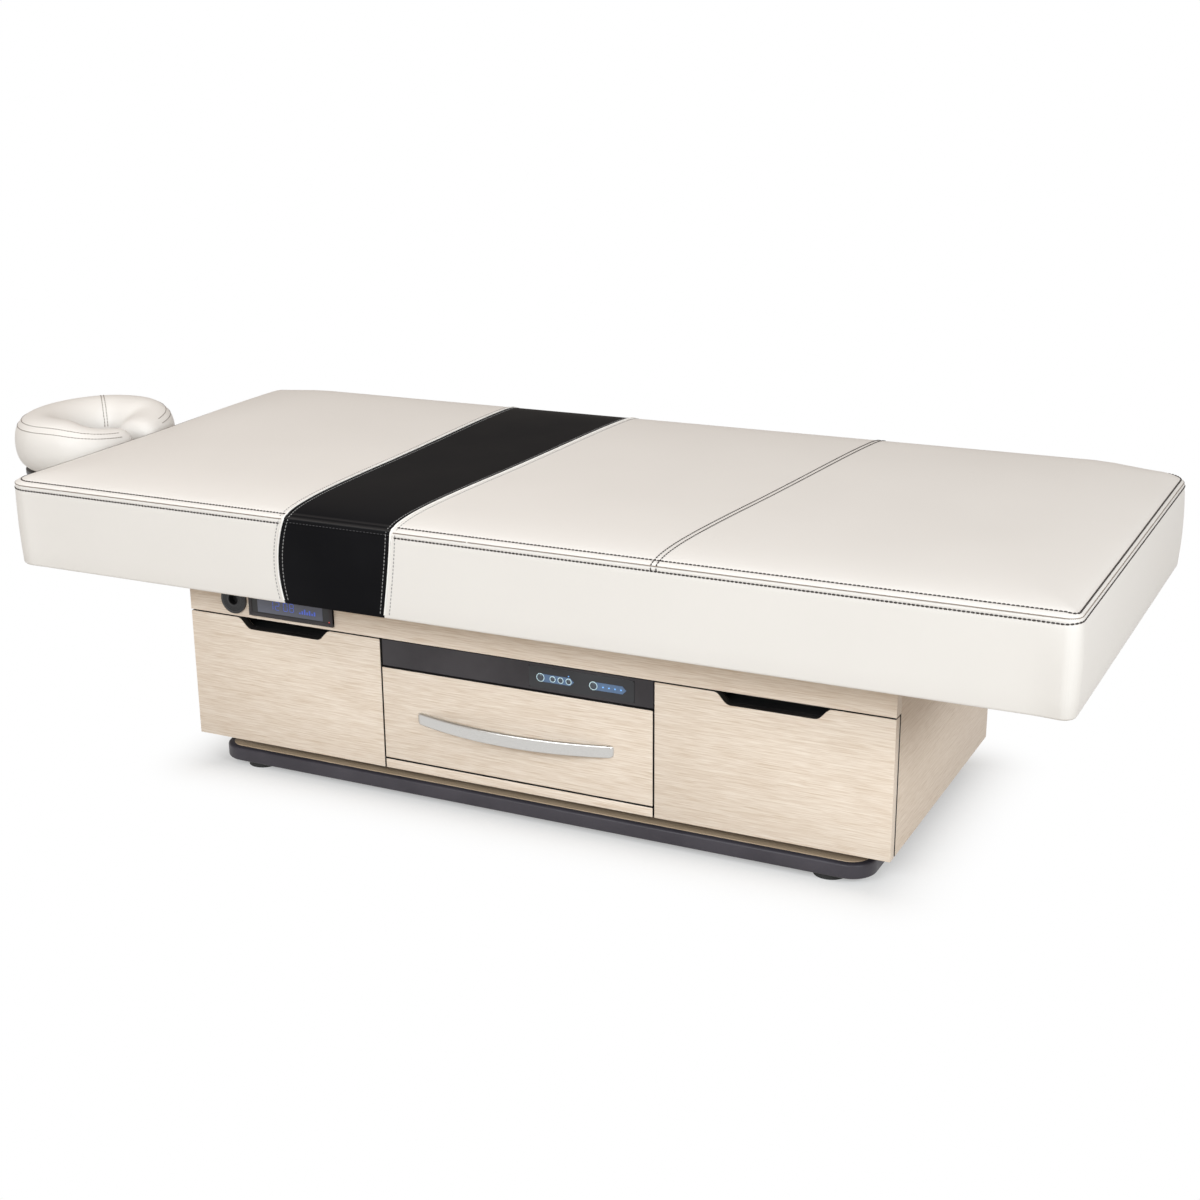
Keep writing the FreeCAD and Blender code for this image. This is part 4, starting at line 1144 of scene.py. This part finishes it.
# %% Middle line of the horseshoe
ring_low, ring_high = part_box("face_cushion")
RING_CENTRE = (ring_low + ring_high) / 2
RING_LONG = (ring_high.x - ring_low.x) / 2 - 0.001
RING_WIDE = (ring_high.y - ring_low.y) / 2 + 0.008
ROLL = 0.054
ROLL_HALF_HEIGHT = (ring_high.z - ring_low.z) / 2
ROLL_LIFT = 0.002
TIP_TURN = math.radians(7)
TIP_REACH = math.radians(75)
TIP_POWER = 1.15
NEAR_TAPER = 0.42
FAR_TAPER = 0.04
HEIGHT_TAPER = 0.21
TABLE_SIDE_BOW = 0.64


def bowed(share, power):
    """A cosine or sine with its sign kept and its curve made squarer."""
    return math.copysign(abs(share) ** power, share)


def roll_at(share):
    """The middle of the roll, the way out, its half width and half height.
    share runs from the tip of the far arm round the brow to the tip of the near arm."""
    turn = TIP_TURN + 2 * (math.pi - TIP_TURN) * share
    along = math.cos(turn)
    aside = math.sin(turn)
    bow = TABLE_SIDE_BOW if along > 0 else 1.0
    edge = Vector((RING_LONG * bowed(along, bow), RING_WIDE * bowed(aside, bow), 0))
    way = Vector((bowed(along, 2 - bow) / RING_LONG, bowed(aside, 2 - bow) / RING_WIDE, 0)).normalized()
    tipward = max(0, 1 - (min(turn, 2 * math.pi - turn) - TIP_TURN) / TIP_REACH) ** TIP_POWER
    width = ROLL * (1 - (NEAR_TAPER if share > 0.5 else FAR_TAPER) * tipward)
    height = ROLL_HALF_HEIGHT * (1 - HEIGHT_TAPER * tipward)
    middle = Vector((RING_CENTRE.x, 0, 0)) + edge - way * width
    middle.z = ring_low.z + ROLL_LIFT + height
    return middle, way, width, height


# %% Sections of the horseshoe
CAP = 0.022
CAP_STEPS = ((0.98, 0.45), (0.82, 0.75), (0.47, 0.94))
SECTIONS = 60
OUTER_POWER = 0.78
INNER_POWER = 0.95
TALL_POWER = 0.80
INWARD_FALL = 0.10
FALL_START = 0.25


def roll_section(shape, share, ahead=0.0, scale=1.0):
    """Adds one closed loop across the roll and gives its edges."""
    middle, way, width, height = roll_at(share)
    middle = middle + Vector((-way.y, way.x, 0)) * ahead
    loop = bmesh.ops.create_circle(shape, cap_ends=False, segments=28, radius=1)["verts"]
    for vertex in loop:
        across = bowed(vertex.co.x, OUTER_POWER if vertex.co.x > 0 else INNER_POWER)
        tall = bowed(vertex.co.y, TALL_POWER)
        fall = INWARD_FALL * max(0, FALL_START - across) if tall > 0 else 0
        vertex.co = middle + way * (width * scale * across) + Vector((0, 0, height * scale * (tall - fall)))
    return list({edge for vertex in loop for edge in vertex.link_edges})


horseshoe = bmesh.new()
loops = [roll_section(horseshoe, 0, -CAP * ahead, scale) for ahead, scale in CAP_STEPS]
loops += [roll_section(horseshoe, number / SECTIONS) for number in range(SECTIONS + 1)]
loops += [roll_section(horseshoe, 1, CAP * ahead, scale) for ahead, scale in reversed(CAP_STEPS)]
for first, second in zip(loops, loops[1:]):
    bmesh.ops.bridge_loops(horseshoe, edges=first + second)
bmesh.ops.holes_fill(horseshoe, edges=loops[0] + loops[-1], sides=0)
print("horseshoe", len(horseshoe.faces), "faces")

# %% Puff the cushion
def puffed(piece, voxel, pressure, cap, frames=20):
    """Remeshes a padded piece evenly, puffs it with a cloth simulation and applies the result.
    cap is the furthest that a point may move."""
    bpy.context.view_layer.objects.active = piece
    remesh = piece.modifiers.new("even_skin", "REMESH")
    remesh.mode = "VOXEL"
    remesh.voxel_size = voxel
    bpy.context.view_layer.update()
    even = bpy.data.meshes.new_from_object(piece.evaluated_get(bpy.context.evaluated_depsgraph_get()))
    piece.modifiers.clear()
    finish = piece.data.materials[0]
    piece.data = even
    even.materials.clear()
    even.materials.append(finish)
    rest = [vertex.co.copy() for vertex in even.vertices]
    cloth = piece.modifiers.new("puff", "CLOTH")
    cloth.settings.use_pressure = True
    cloth.settings.uniform_pressure_force = pressure
    cloth.settings.effector_weights.gravity = 0
    cloth.settings.quality = 5
    cloth.settings.tension_stiffness = 15
    cloth.settings.compression_stiffness = 15
    scene = bpy.context.scene
    for number in range(1, frames + 1):
        scene.frame_set(number)
    swollen = bpy.data.meshes.new_from_object(piece.evaluated_get(bpy.context.evaluated_depsgraph_get()))
    moved = [vertex.co.copy() for vertex in swollen.vertices]
    piece.modifiers.clear()
    scene.frame_set(1)
    bpy.data.meshes.remove(swollen)
    for vertex, start_place, end_place in zip(even.vertices, rest, moved):
        shift = end_place - start_place
        if shift.length > cap:
            shift = shift * (cap / shift.length)
        vertex.co = start_place + shift
    even.update()


PAD_VOXEL = 0.005
PAD_PRESSURE = 4.0
PAD_PUFF = 0.006
PLATFORM_GAP = 0.0003
SMOOTHING_PASSES = 22
face_pad = finished_piece("face_rest_cushion", horseshoe, ivory_vinyl, "face_rest",
                          ("face_cushion",), smooth=180)
puffed(face_pad, PAD_VOXEL, PAD_PRESSURE, PAD_PUFF)
for vertex in face_pad.data.vertices:
    vertex.co.z = max(vertex.co.z, ring_low.z + PLATFORM_GAP)
soften = bmesh.new()
soften.from_mesh(face_pad.data)
for _ in range(SMOOTHING_PASSES):
    bmesh.ops.smooth_vert(soften, verts=soften.verts, factor=0.5, use_axis_x=True, use_axis_y=True,
                          use_axis_z=True)
soften.to_mesh(face_pad.data)
soften.free()
face_pad.data.shade_smooth()
print("face cushion", len(face_pad.data.polygons), "faces")

# %% Stitches of the face cushion
ROW_LEANS = (math.radians(36), math.radians(50))
ROW_START = 0.025
ROW_RUN = 0.960
ROW_STEPS = 160
BROW_SHARE = 0.345
BROW_HALF_GAP = 0.0028
BROW_START = 55
BROW_SWEEP = 125
BROW_STEPS = 40


def on_pad(point):
    """The nearest point of the face cushion, with its normal."""
    _, place, normal, _ = face_pad.closest_point_on_mesh(point)
    return place + normal * THREAD_LIFT, normal


def round_roll(share, lean, aside=0.0):
    """A place on the cover of the roll, lean counted up from its outer side."""
    middle, way, width, height = roll_at(share)
    reach_out = way * (width * 1.1 * math.cos(lean)) + Vector((-way.y, way.x, 0)) * aside
    return on_pad(middle + reach_out + Vector((0, 0, height * 1.1 * math.sin(lean))))


pad_rows = []
for lean in ROW_LEANS:
    pad_rows.append([round_roll(ROW_START + ROW_RUN * n / ROW_STEPS, lean) for n in range(ROW_STEPS + 1)])
for aside in (-BROW_HALF_GAP, BROW_HALF_GAP):
    leans = [math.radians(BROW_START + BROW_SWEEP * n / BROW_STEPS) for n in range(BROW_STEPS + 1)]
    pad_rows.append([round_roll(BROW_SHARE, lean, aside) for lean in leans])
pad_thread = bmesh.new()
sewn = sum(lay_stitches(pad_thread, row, STITCH_PITCH, length=0.0056, radius=0.0009) for row in pad_rows)
print("face cushion stitches", sewn)
finished_piece("face_rest_topstitching", pad_thread, taupe_thread, "face_rest", smooth=80)

# %% [markdown]
# ## Cabinet boards
# The boards are laminate with a thin edge band, so their corners are eased by about a
# millimetre. That line of light along an edge is what tells a real board from a plain block.
# Where an edge looks into the gap beside another board it is painted black, as painted shade
# in the gap, which draws the thin dark lines between the fronts.

# %% Eased boards
BOARD_EASE = 0.0011
OUTER_SIDE = 0.003


def inner_edge(outer_side=None):
    """A test for the edge faces of a front that look into a gap, all but those at its outer side."""
    def looks_into_gap(face):
        if abs(face.normal.y) > 0.35:
            return False
        return outer_side is None or abs(face.calc_center_median().x - outer_side) > OUTER_SIDE
    return looks_into_gap


def eased_board(node, body, finish, gap_shaded):
    """A board with eased edges in the place of a packed one.
    gap_shaded is a test for the faces painted black, as painted shade in the gaps."""
    shape = box_shape(*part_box(node))
    rounded(shape, shape.edges, BOARD_EASE, 3)
    finished_piece(node + "_eased", shape, finish, body, (node,), smooth=40,
                   trim=(painted_gap_shade, gap_shaded))


# The front edges of the end panels and the gap edges of the fronts are painted shade.
for hand in ("left", "right"):
    eased_board(hand + "_side_panel", "cabinet", shaded_oak_across, lambda face: face.normal.y < -0.6)
eased_board("filler_strip", "cabinet", oak_along, inner_edge())
eased_board("warming_drawer_front", "warming_drawer", oak_along, inner_edge())

# %% [markdown]
# ### Drawer fronts with finger pulls
# The outer drawers have no handle. A shallow notch with slanted ends is cut in the upper
# edge, and a black trough behind it takes the fingers. The outline of the front is drawn as
# one face, pushed back to its thickness, and the inner corners of the notch are rounded.

# %% Notched fronts
NOTCH_TOP = 0.190
NOTCH_FOOT = 0.154
NOTCH_DEPTH = 0.020
NOTCH_ROUND = 0.006
FRONT_EASE = 0.0010
for hand in ("left", "right"):
    low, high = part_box(hand + "_drawer_front")
    middle = (low.x + high.x) / 2
    notch_z = high.z - NOTCH_DEPTH
    corners = [(low.x, low.z), (high.x, low.z), (high.x, high.z), (middle + NOTCH_TOP / 2, high.z),
               (middle + NOTCH_FOOT / 2, notch_z), (middle - NOTCH_FOOT / 2, notch_z),
               (middle - NOTCH_TOP / 2, high.z), (low.x, high.z)]
    front = bmesh.new()
    outline = front.faces.new([front.verts.new((x, low.y, z)) for x, z in corners])
    pushed_back(front, outline, high.y - low.y)
    bends = [edge for edge in edges_along(front, 1)
             if abs(edge.verts[0].co.x - middle) < NOTCH_TOP / 2 + 1e-6]
    rounded(front, bends, NOTCH_ROUND, 4)
    bmesh.ops.recalc_face_normals(front, faces=front.faces)
    sharp = [edge for edge in front.edges if edge.calc_face_angle(0) > math.radians(60)]
    rounded(front, sharp, FRONT_EASE, 2)
    # Edges that look into the gaps are black as painted shade; in the notch this black also stands for the
    # trough.
    outer_side = low.x if hand == "left" else high.x
    finished_piece(hand + "_drawer_front_eased", front, oak_along, hand + "_drawer",
                   (hand + "_drawer_front",), smooth=40, trim=(painted_gap_shade, inner_edge(outer_side)))


# %% [markdown]
# ## Plinth
# The plinth is a board with round corners and a soft charcoal bumper round its edge. Its oak is
# darker than the fronts, as painted shade under the cabinet. The bumper could be a swept
# profile, but the board covers its middle, so a block with rounded corners and a rounded rim
# shows the same shape with fewer steps.

# %% Bumper and plinth board
PLINTH_CORNER = 0.045
BUMPER_ROUND = 0.004
BUMPER_THICKNESS = 0.012
BOARD_PROUD = 0.0012
BOARD_ROUND = 0.0010
bumper = box_shape(plinth_low, plinth_high)
rounded(bumper, edges_along(bumper, 2), PLINTH_CORNER, 12)
rounded(bumper, rim_of(bumper, lambda face: abs(face.normal.z) > 0.99), BUMPER_ROUND, 4)
finished_piece("bumper_edge_soft", bumper, charcoal_bumper, "base", ("bumper_edge",),
               smooth=50)
low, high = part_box("plinth_board")
plinth = box_shape(low, (high.x, high.y, high.z + BOARD_PROUD))
rounded(plinth, edges_along(plinth, 2), PLINTH_CORNER - BUMPER_THICKNESS, 10)
rounded(plinth, rim_of(plinth, lambda face: face.normal.z > 0.99), BOARD_ROUND, 2)
finished_piece("plinth_board_eased", plinth, shaded_plinth_oak, "base", ("plinth_board",),
               smooth=40)

# %% [markdown]
# ## Bow handle
# The handle of the warming drawer is a flat nickel bar that bows out from the front and
# turns back to it at both ends. A straight bar is cut into short lengths, bowed point by
# point along a smooth arch, and its edges are rounded.

# %% Bow handle
HANDLE_THICKNESS = 0.0085
HANDLE_ROUND = 0.0040
HANDLE_LENGTHS = 48
TIP_CUTS = (0.15, 0.4, 0.7, 47.3, 47.6, 47.85)
TIP_START = 0.955
TIP_HEIGHT = 0.55
END_HEIGHT = 0.90
END_ARCH = 0.02
END_THINNING = 0.6
SEAT_GAP = 0.0001
low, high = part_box("bow_handle")
centre = (low + high) / 2
front_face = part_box("warming_drawer_front")[0].y
half_span = (high.x - low.x) / 2
rise = front_face - low.y - HANDLE_THICKNESS / 2
handle = box_shape((low.x, -HANDLE_THICKNESS / 2, low.z), (high.x, HANDLE_THICKNESS / 2, high.z))
for number in (*range(1, HANDLE_LENGTHS), *TIP_CUTS):
    slice_across(handle, (low.x + (high.x - low.x) * number / HANDLE_LENGTHS, 0, 0), (1, 0, 0))
rounded(handle, edges_along(handle, 0), HANDLE_ROUND, 5)
for vertex in handle.verts:
    share = (vertex.co.x - centre.x) / half_span
    arch = 1 - share * share
    slope = math.atan(-2 * share * rise / half_span)
    depth = vertex.co.y
    thinning = 1 if arch > END_ARCH else END_THINNING
    tip = max(0, (abs(share) - TIP_START) / (1 - TIP_START))
    tip_height = TIP_HEIGHT + (1 - TIP_HEIGHT) * math.sqrt(max(0, 1 - tip * tip))
    tall = (END_HEIGHT + (1 - END_HEIGHT) * arch) * tip_height
    vertex.co.y = front_face - arch * rise - SEAT_GAP + depth * math.cos(slope) * thinning
    vertex.co.x += depth * math.sin(-slope)
    vertex.co.z = centre.z + (vertex.co.z - centre.z) * tall
finished_piece("bow_handle_brushed", handle, brushed_nickel, "warming_drawer",
               ("bow_handle",), smooth=60)


# %% [markdown]
# ## Music unit and socket
# The fascia holds a small player with a dark display, and a round socket. The player's face
# is a block whose front is inset twice and pressed in, which leaves a soft frame round the
# display. The socket is a profile spun about its axis, like a turned ring.

# %% Player frame and display
FRAME_PROUD = 0.0008
FRAME_DEPTH = 0.006
FRAME_CORNER = 0.005
FRAME_ROUND = 0.0018
FRAME_WIDTH = 0.0055
FRAME_STEP = 0.0012
FRAME_SINK = 0.0014
LEAST_CAP_AREA = 0.002
GLASS_PROUD = 0.0004
GLASS_DEPTH = 0.0020
GLASS_EASE = 0.0004
unit_low, unit_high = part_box("music_unit")
frame_front = box_shape((unit_low.x, unit_low.y - FRAME_PROUD, unit_low.z),
                        (unit_high.x, unit_low.y + FRAME_DEPTH, unit_high.z))
rounded(frame_front, edges_along(frame_front, 1), FRAME_CORNER, 5)
rounded(frame_front, rim_of(frame_front, faces_front), FRAME_ROUND, 3)
front_cap = [face for face in frame_front.faces if faces_front(face) and face.calc_area() > LEAST_CAP_AREA]
bmesh.ops.inset_region(frame_front, faces=front_cap, thickness=FRAME_WIDTH, depth=0)
bmesh.ops.inset_region(frame_front, faces=front_cap, thickness=FRAME_STEP, depth=-FRAME_SINK)
finished_piece("player_frame", frame_front, charcoal_panel, "cabinet", smooth=40)
screen_low, screen_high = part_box("unit_screen")
glass_low = Vector((screen_low.x, unit_low.y - GLASS_PROUD, screen_low.z))
glass_high = Vector((screen_high.x, unit_low.y + GLASS_DEPTH, screen_high.z))
glass = box_shape(glass_low, glass_high)
rounded(glass, glass.edges, GLASS_EASE, 2)
finished_piece("player_display", glass, screen_glass, "cabinet", ("unit_screen",), smooth=40)

# %% [markdown]
# The display shows a time in plain bar digits. Each digit is a set of small bars, so the
# seven bars of a digit are switched on by a short word of ones and noughts.

# %% Display digits
BARS = {"0": "1110111", "1": "0010010", "2": "1011101", "8": "1111111"}
BAR_PLACES = ((0, 1, 1), (-1, 0.5, 0), (1, 0.5, 0), (0, 0, 1), (-1, -0.5, 0), (1, -0.5, 0), (0, -1, 1))
DIGIT_WIDTH = 0.0080
DIGIT_HEIGHT = 0.0150
DIGIT_PITCH = 0.0135
DIGIT_START = 0.030
COLON_GAP = 0.004
BAR_WIDTH = 0.0011
PRINT_DEPTH = 0.0004
PRINT_LIFT = 0.0001
digit_y = glass_low.y - PRINT_LIFT
digit_z = (glass_low.z + glass_high.z) / 2


def add_block(shape, centre, size):
    """Adds a small block to a bmesh."""
    bmesh.ops.create_cube(shape, size=1, matrix=Matrix.Translation(centre) @ Matrix.Diagonal((*size, 1)))


def lit_digit(shape, digit, x):
    """Adds the lit bars of one digit to a bmesh."""
    for lit, (across, tall, level) in zip(BARS[digit], BAR_PLACES):
        if lit == "0":
            continue
        if level:
            size = (DIGIT_WIDTH * 0.86, PRINT_DEPTH, BAR_WIDTH)
        else:
            size = (BAR_WIDTH, PRINT_DEPTH, DIGIT_HEIGHT * 0.43)
        add_block(shape, (x + across * DIGIT_WIDTH / 2, digit_y, digit_z + tall * DIGIT_HEIGHT / 2), size)


digits = bmesh.new()
for number, digit in enumerate("1208"):
    past_colon = COLON_GAP if number > 1 else 0
    lit_digit(digits, digit, glass_low.x + DIGIT_START + DIGIT_PITCH * number + past_colon)
print("digit bars", len(digits.verts) // 8)

# %% Level bars of the display
LEVEL_START = 0.092
LEVEL_PITCH = 0.0052
LEVEL_WIDTH = 0.0032
LEVEL_FOOT = 0.0075
LEVEL_LEAST = 0.003
LEVEL_STEP = 0.0011
for number in range(7):
    tall = LEVEL_LEAST + LEVEL_STEP * ((number * 3) % 7)
    place = (glass_low.x + LEVEL_START + LEVEL_PITCH * number, digit_y, glass_low.z + LEVEL_FOOT + tall / 2)
    add_block(digits, place, (LEVEL_WIDTH, PRINT_DEPTH, tall))
finished_piece("player_digits", digits, blue_digits, "cabinet", smooth=30)

# %% Round socket
def spun(profile, centre, steps=48):
    """A turned shape: a profile of radius and depth points spun about an axis along Y."""
    shape = bmesh.new()
    spots = [shape.verts.new((radius, depth, 0)) for radius, depth in profile]
    for first, second in zip(spots, spots[1:]):
        shape.edges.new((first, second))
    bmesh.ops.spin(shape, geom=list(shape.verts) + list(shape.edges), cent=(0, 0, 0), axis=(0, 1, 0),
                   angle=2 * math.pi, steps=steps, use_merge=True)
    bmesh.ops.translate(shape, vec=centre, verts=shape.verts)
    return shape


low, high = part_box("accessory_socket")
rim = (high.x - low.x) / 2
socket_profile = [(rim, 0.0045), (rim, 0.0012), (rim - 0.0012, 0), (rim * 0.80, -0.0004),
                  (rim * 0.76, 0.0006), (rim * 0.72, -0.0004), (rim * 0.50, 0.0002), (rim * 0.46, -0.0006),
                  (rim * 0.38, -0.0006), (rim * 0.345, 0.0010), (rim * 0.345, 0.012), (0.0, 0.012)]
socket = spun(socket_profile, Vector(((low.x + high.x) / 2, low.y, (low.z + high.z) / 2)))
finished_piece("socket_ring", socket, black_plastic, "cabinet", smooth=40)

# %% Power light of the player
LIGHT_PROFILE = [(0.0, -0.0008), (0.0010, -0.0006), (0.0014, 0.0002), (0.0014, 0.001)]
LIGHT_FROM_SIDE = 0.0062
LIGHT_FROM_FOOT = 0.009
LIGHT_PROUD = 0.0006
light_place = Vector((unit_high.x - LIGHT_FROM_SIDE, unit_low.y - LIGHT_PROUD, unit_low.z + LIGHT_FROM_FOOT))
power_light = spun(LIGHT_PROFILE, light_place, steps=12)
finished_piece("player_light", power_light, red_lamp, "cabinet", smooth=60)

# %% [markdown]
# ## Control pad
# The pad on the dark strip works the heat of the drawer. Its buttons are small domes inside
# printed rings, and two pale blue bands with pointed ends group them. The bands are thin
# raised print, so the pad reads the same from every side.

# %% Film and bands of the pad
FILM_CORNER = 0.004
FILM_ROUND = 0.0005
BAND_TALL = 0.0140
BAND_PROUD = 0.00025
BAND_PRINT = 0.0003
BAND_START_REACH = 0.008
HEAT_END_REACH = 0.006
TIMER_END_REACH = 0.008
pad_low, pad_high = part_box("control_pad")
film = box_shape(pad_low, pad_high)
rounded(film, edges_along(film, 1), FILM_CORNER, 4)
rounded(film, rim_of(film, faces_front), FILM_ROUND, 2)
finished_piece("control_film", film, pad_film, "cabinet", ("control_pad",), smooth=40)


def pointed_band(shape, start_x, end_x, z):
    """Adds a thin band with pointed ends to a bmesh."""
    half = BAND_TALL / 2
    corners = [(start_x, z), (start_x + half, z - half), (end_x - half, z - half), (end_x, z),
               (end_x - half, z + half), (start_x + half, z + half)]
    spots = [shape.verts.new((x, pad_low.y - BAND_PROUD, height)) for x, height in corners]
    pushed_back(shape, shape.faces.new(spots), BAND_PRINT)


bands = bmesh.new()
for button, last, end_reach in (("power_button", "high_heat_button", HEAT_END_REACH),
                                ("timer_button", "timer_lamps", TIMER_END_REACH)):
    band_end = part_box(last)[1].x + end_reach
    pointed_band(bands, middle_of(button).x - BAND_START_REACH, band_end, middle_of("power_button").z)
finished_piece("heat_bands", bands, pale_blue_print, "cabinet", smooth=30)

# %% Buttons and their rings
RING_PROUD = 0.0002
for name in ("power_button", "low_heat_button", "medium_heat_button", "high_heat_button", "timer_button"):
    low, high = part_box(name)
    radius = (high.x - low.x) / 2
    centre = Vector(((low.x + high.x) / 2, low.y, (low.z + high.z) / 2))
    dome = spun([(0.0, -0.0004), (radius * 0.45, -0.0003), (radius * 0.80, 0.0002), (radius * 0.97, 0.0008),
                 (radius, 0.0018), (radius, high.y - low.y), (0.0, high.y - low.y)], centre, steps=28)
    finished_piece(name + "_dome", dome, button_grey, name, (name,), smooth=40)
    collar = spun([(radius + 0.0004, 0.0002), (radius + 0.0004, -0.0003), (radius + 0.0012, -0.0004),
                   (radius + 0.0016, -0.0001), (radius + 0.0016, 0.0002)],
                  Vector((centre.x, pad_low.y - RING_PROUD, centre.z)), steps=28)
    finished_piece(name + "_collar", collar, grey_print, "cabinet", smooth=50)

# %% Light over the highest heat
LEVEL_PROFILE = [(0.0, -0.0007), (0.0009, -0.0005), (0.0013, 0.0001), (0.0013, 0.0006)]
LEVEL_RISE = 0.0055
level_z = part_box("high_heat_button")[1].z + LEVEL_RISE
level_light = spun(LEVEL_PROFILE, Vector((middle_of("high_heat_button").x, pad_low.y, level_z)), steps=12)
finished_piece("level_light", level_light, blue_lamp, "cabinet", smooth=60)

# %% [markdown]
# ## Heating pad
# A thin quilted pad lies in the warming drawer. A flat block is sliced into a grid, the rows
# between the seams are raised into soft channels, and the rim is pinched thin.

# %% Heating pad
PAD_CORNER = 0.018
QUILT_COLUMNS = 60
QUILT_ROWS = 12
QUILT_CHANNELS = 6
QUILT_POWER = 0.5
SEAM_THICKNESS = 0.35
RIM_PINCH = 0.012
low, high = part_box("heating_pad")
size = high - low
quilt = box_shape(low, high)
rounded(quilt, edges_along(quilt, 2), PAD_CORNER, 6)
for number in range(1, QUILT_COLUMNS):
    slice_across(quilt, (low.x + size.x * number / QUILT_COLUMNS, 0, 0), (1, 0, 0))
for number in range(1, QUILT_ROWS):
    slice_across(quilt, (0, low.y + size.y * number / QUILT_ROWS, 0), (0, 1, 0))
for vertex in quilt.verts:
    if vertex.co.z > high.z - 1e-6:
        x, y = vertex.co.xy
        wave = abs(math.sin((x - low.x) / size.x * math.pi * QUILT_CHANNELS)) ** QUILT_POWER
        rim = min(x - low.x, high.x - x, y - low.y, high.y - y)
        swell = (1 - SEAM_THICKNESS) * wave * min(1, rim / RIM_PINCH)
        vertex.co.z = low.z + size.z * (SEAM_THICKNESS + swell)
heat_pad = finished_piece("heating_pad_quilted", quilt, heat_cloth, "warming_drawer",
                          ("heating_pad",), smooth=70)
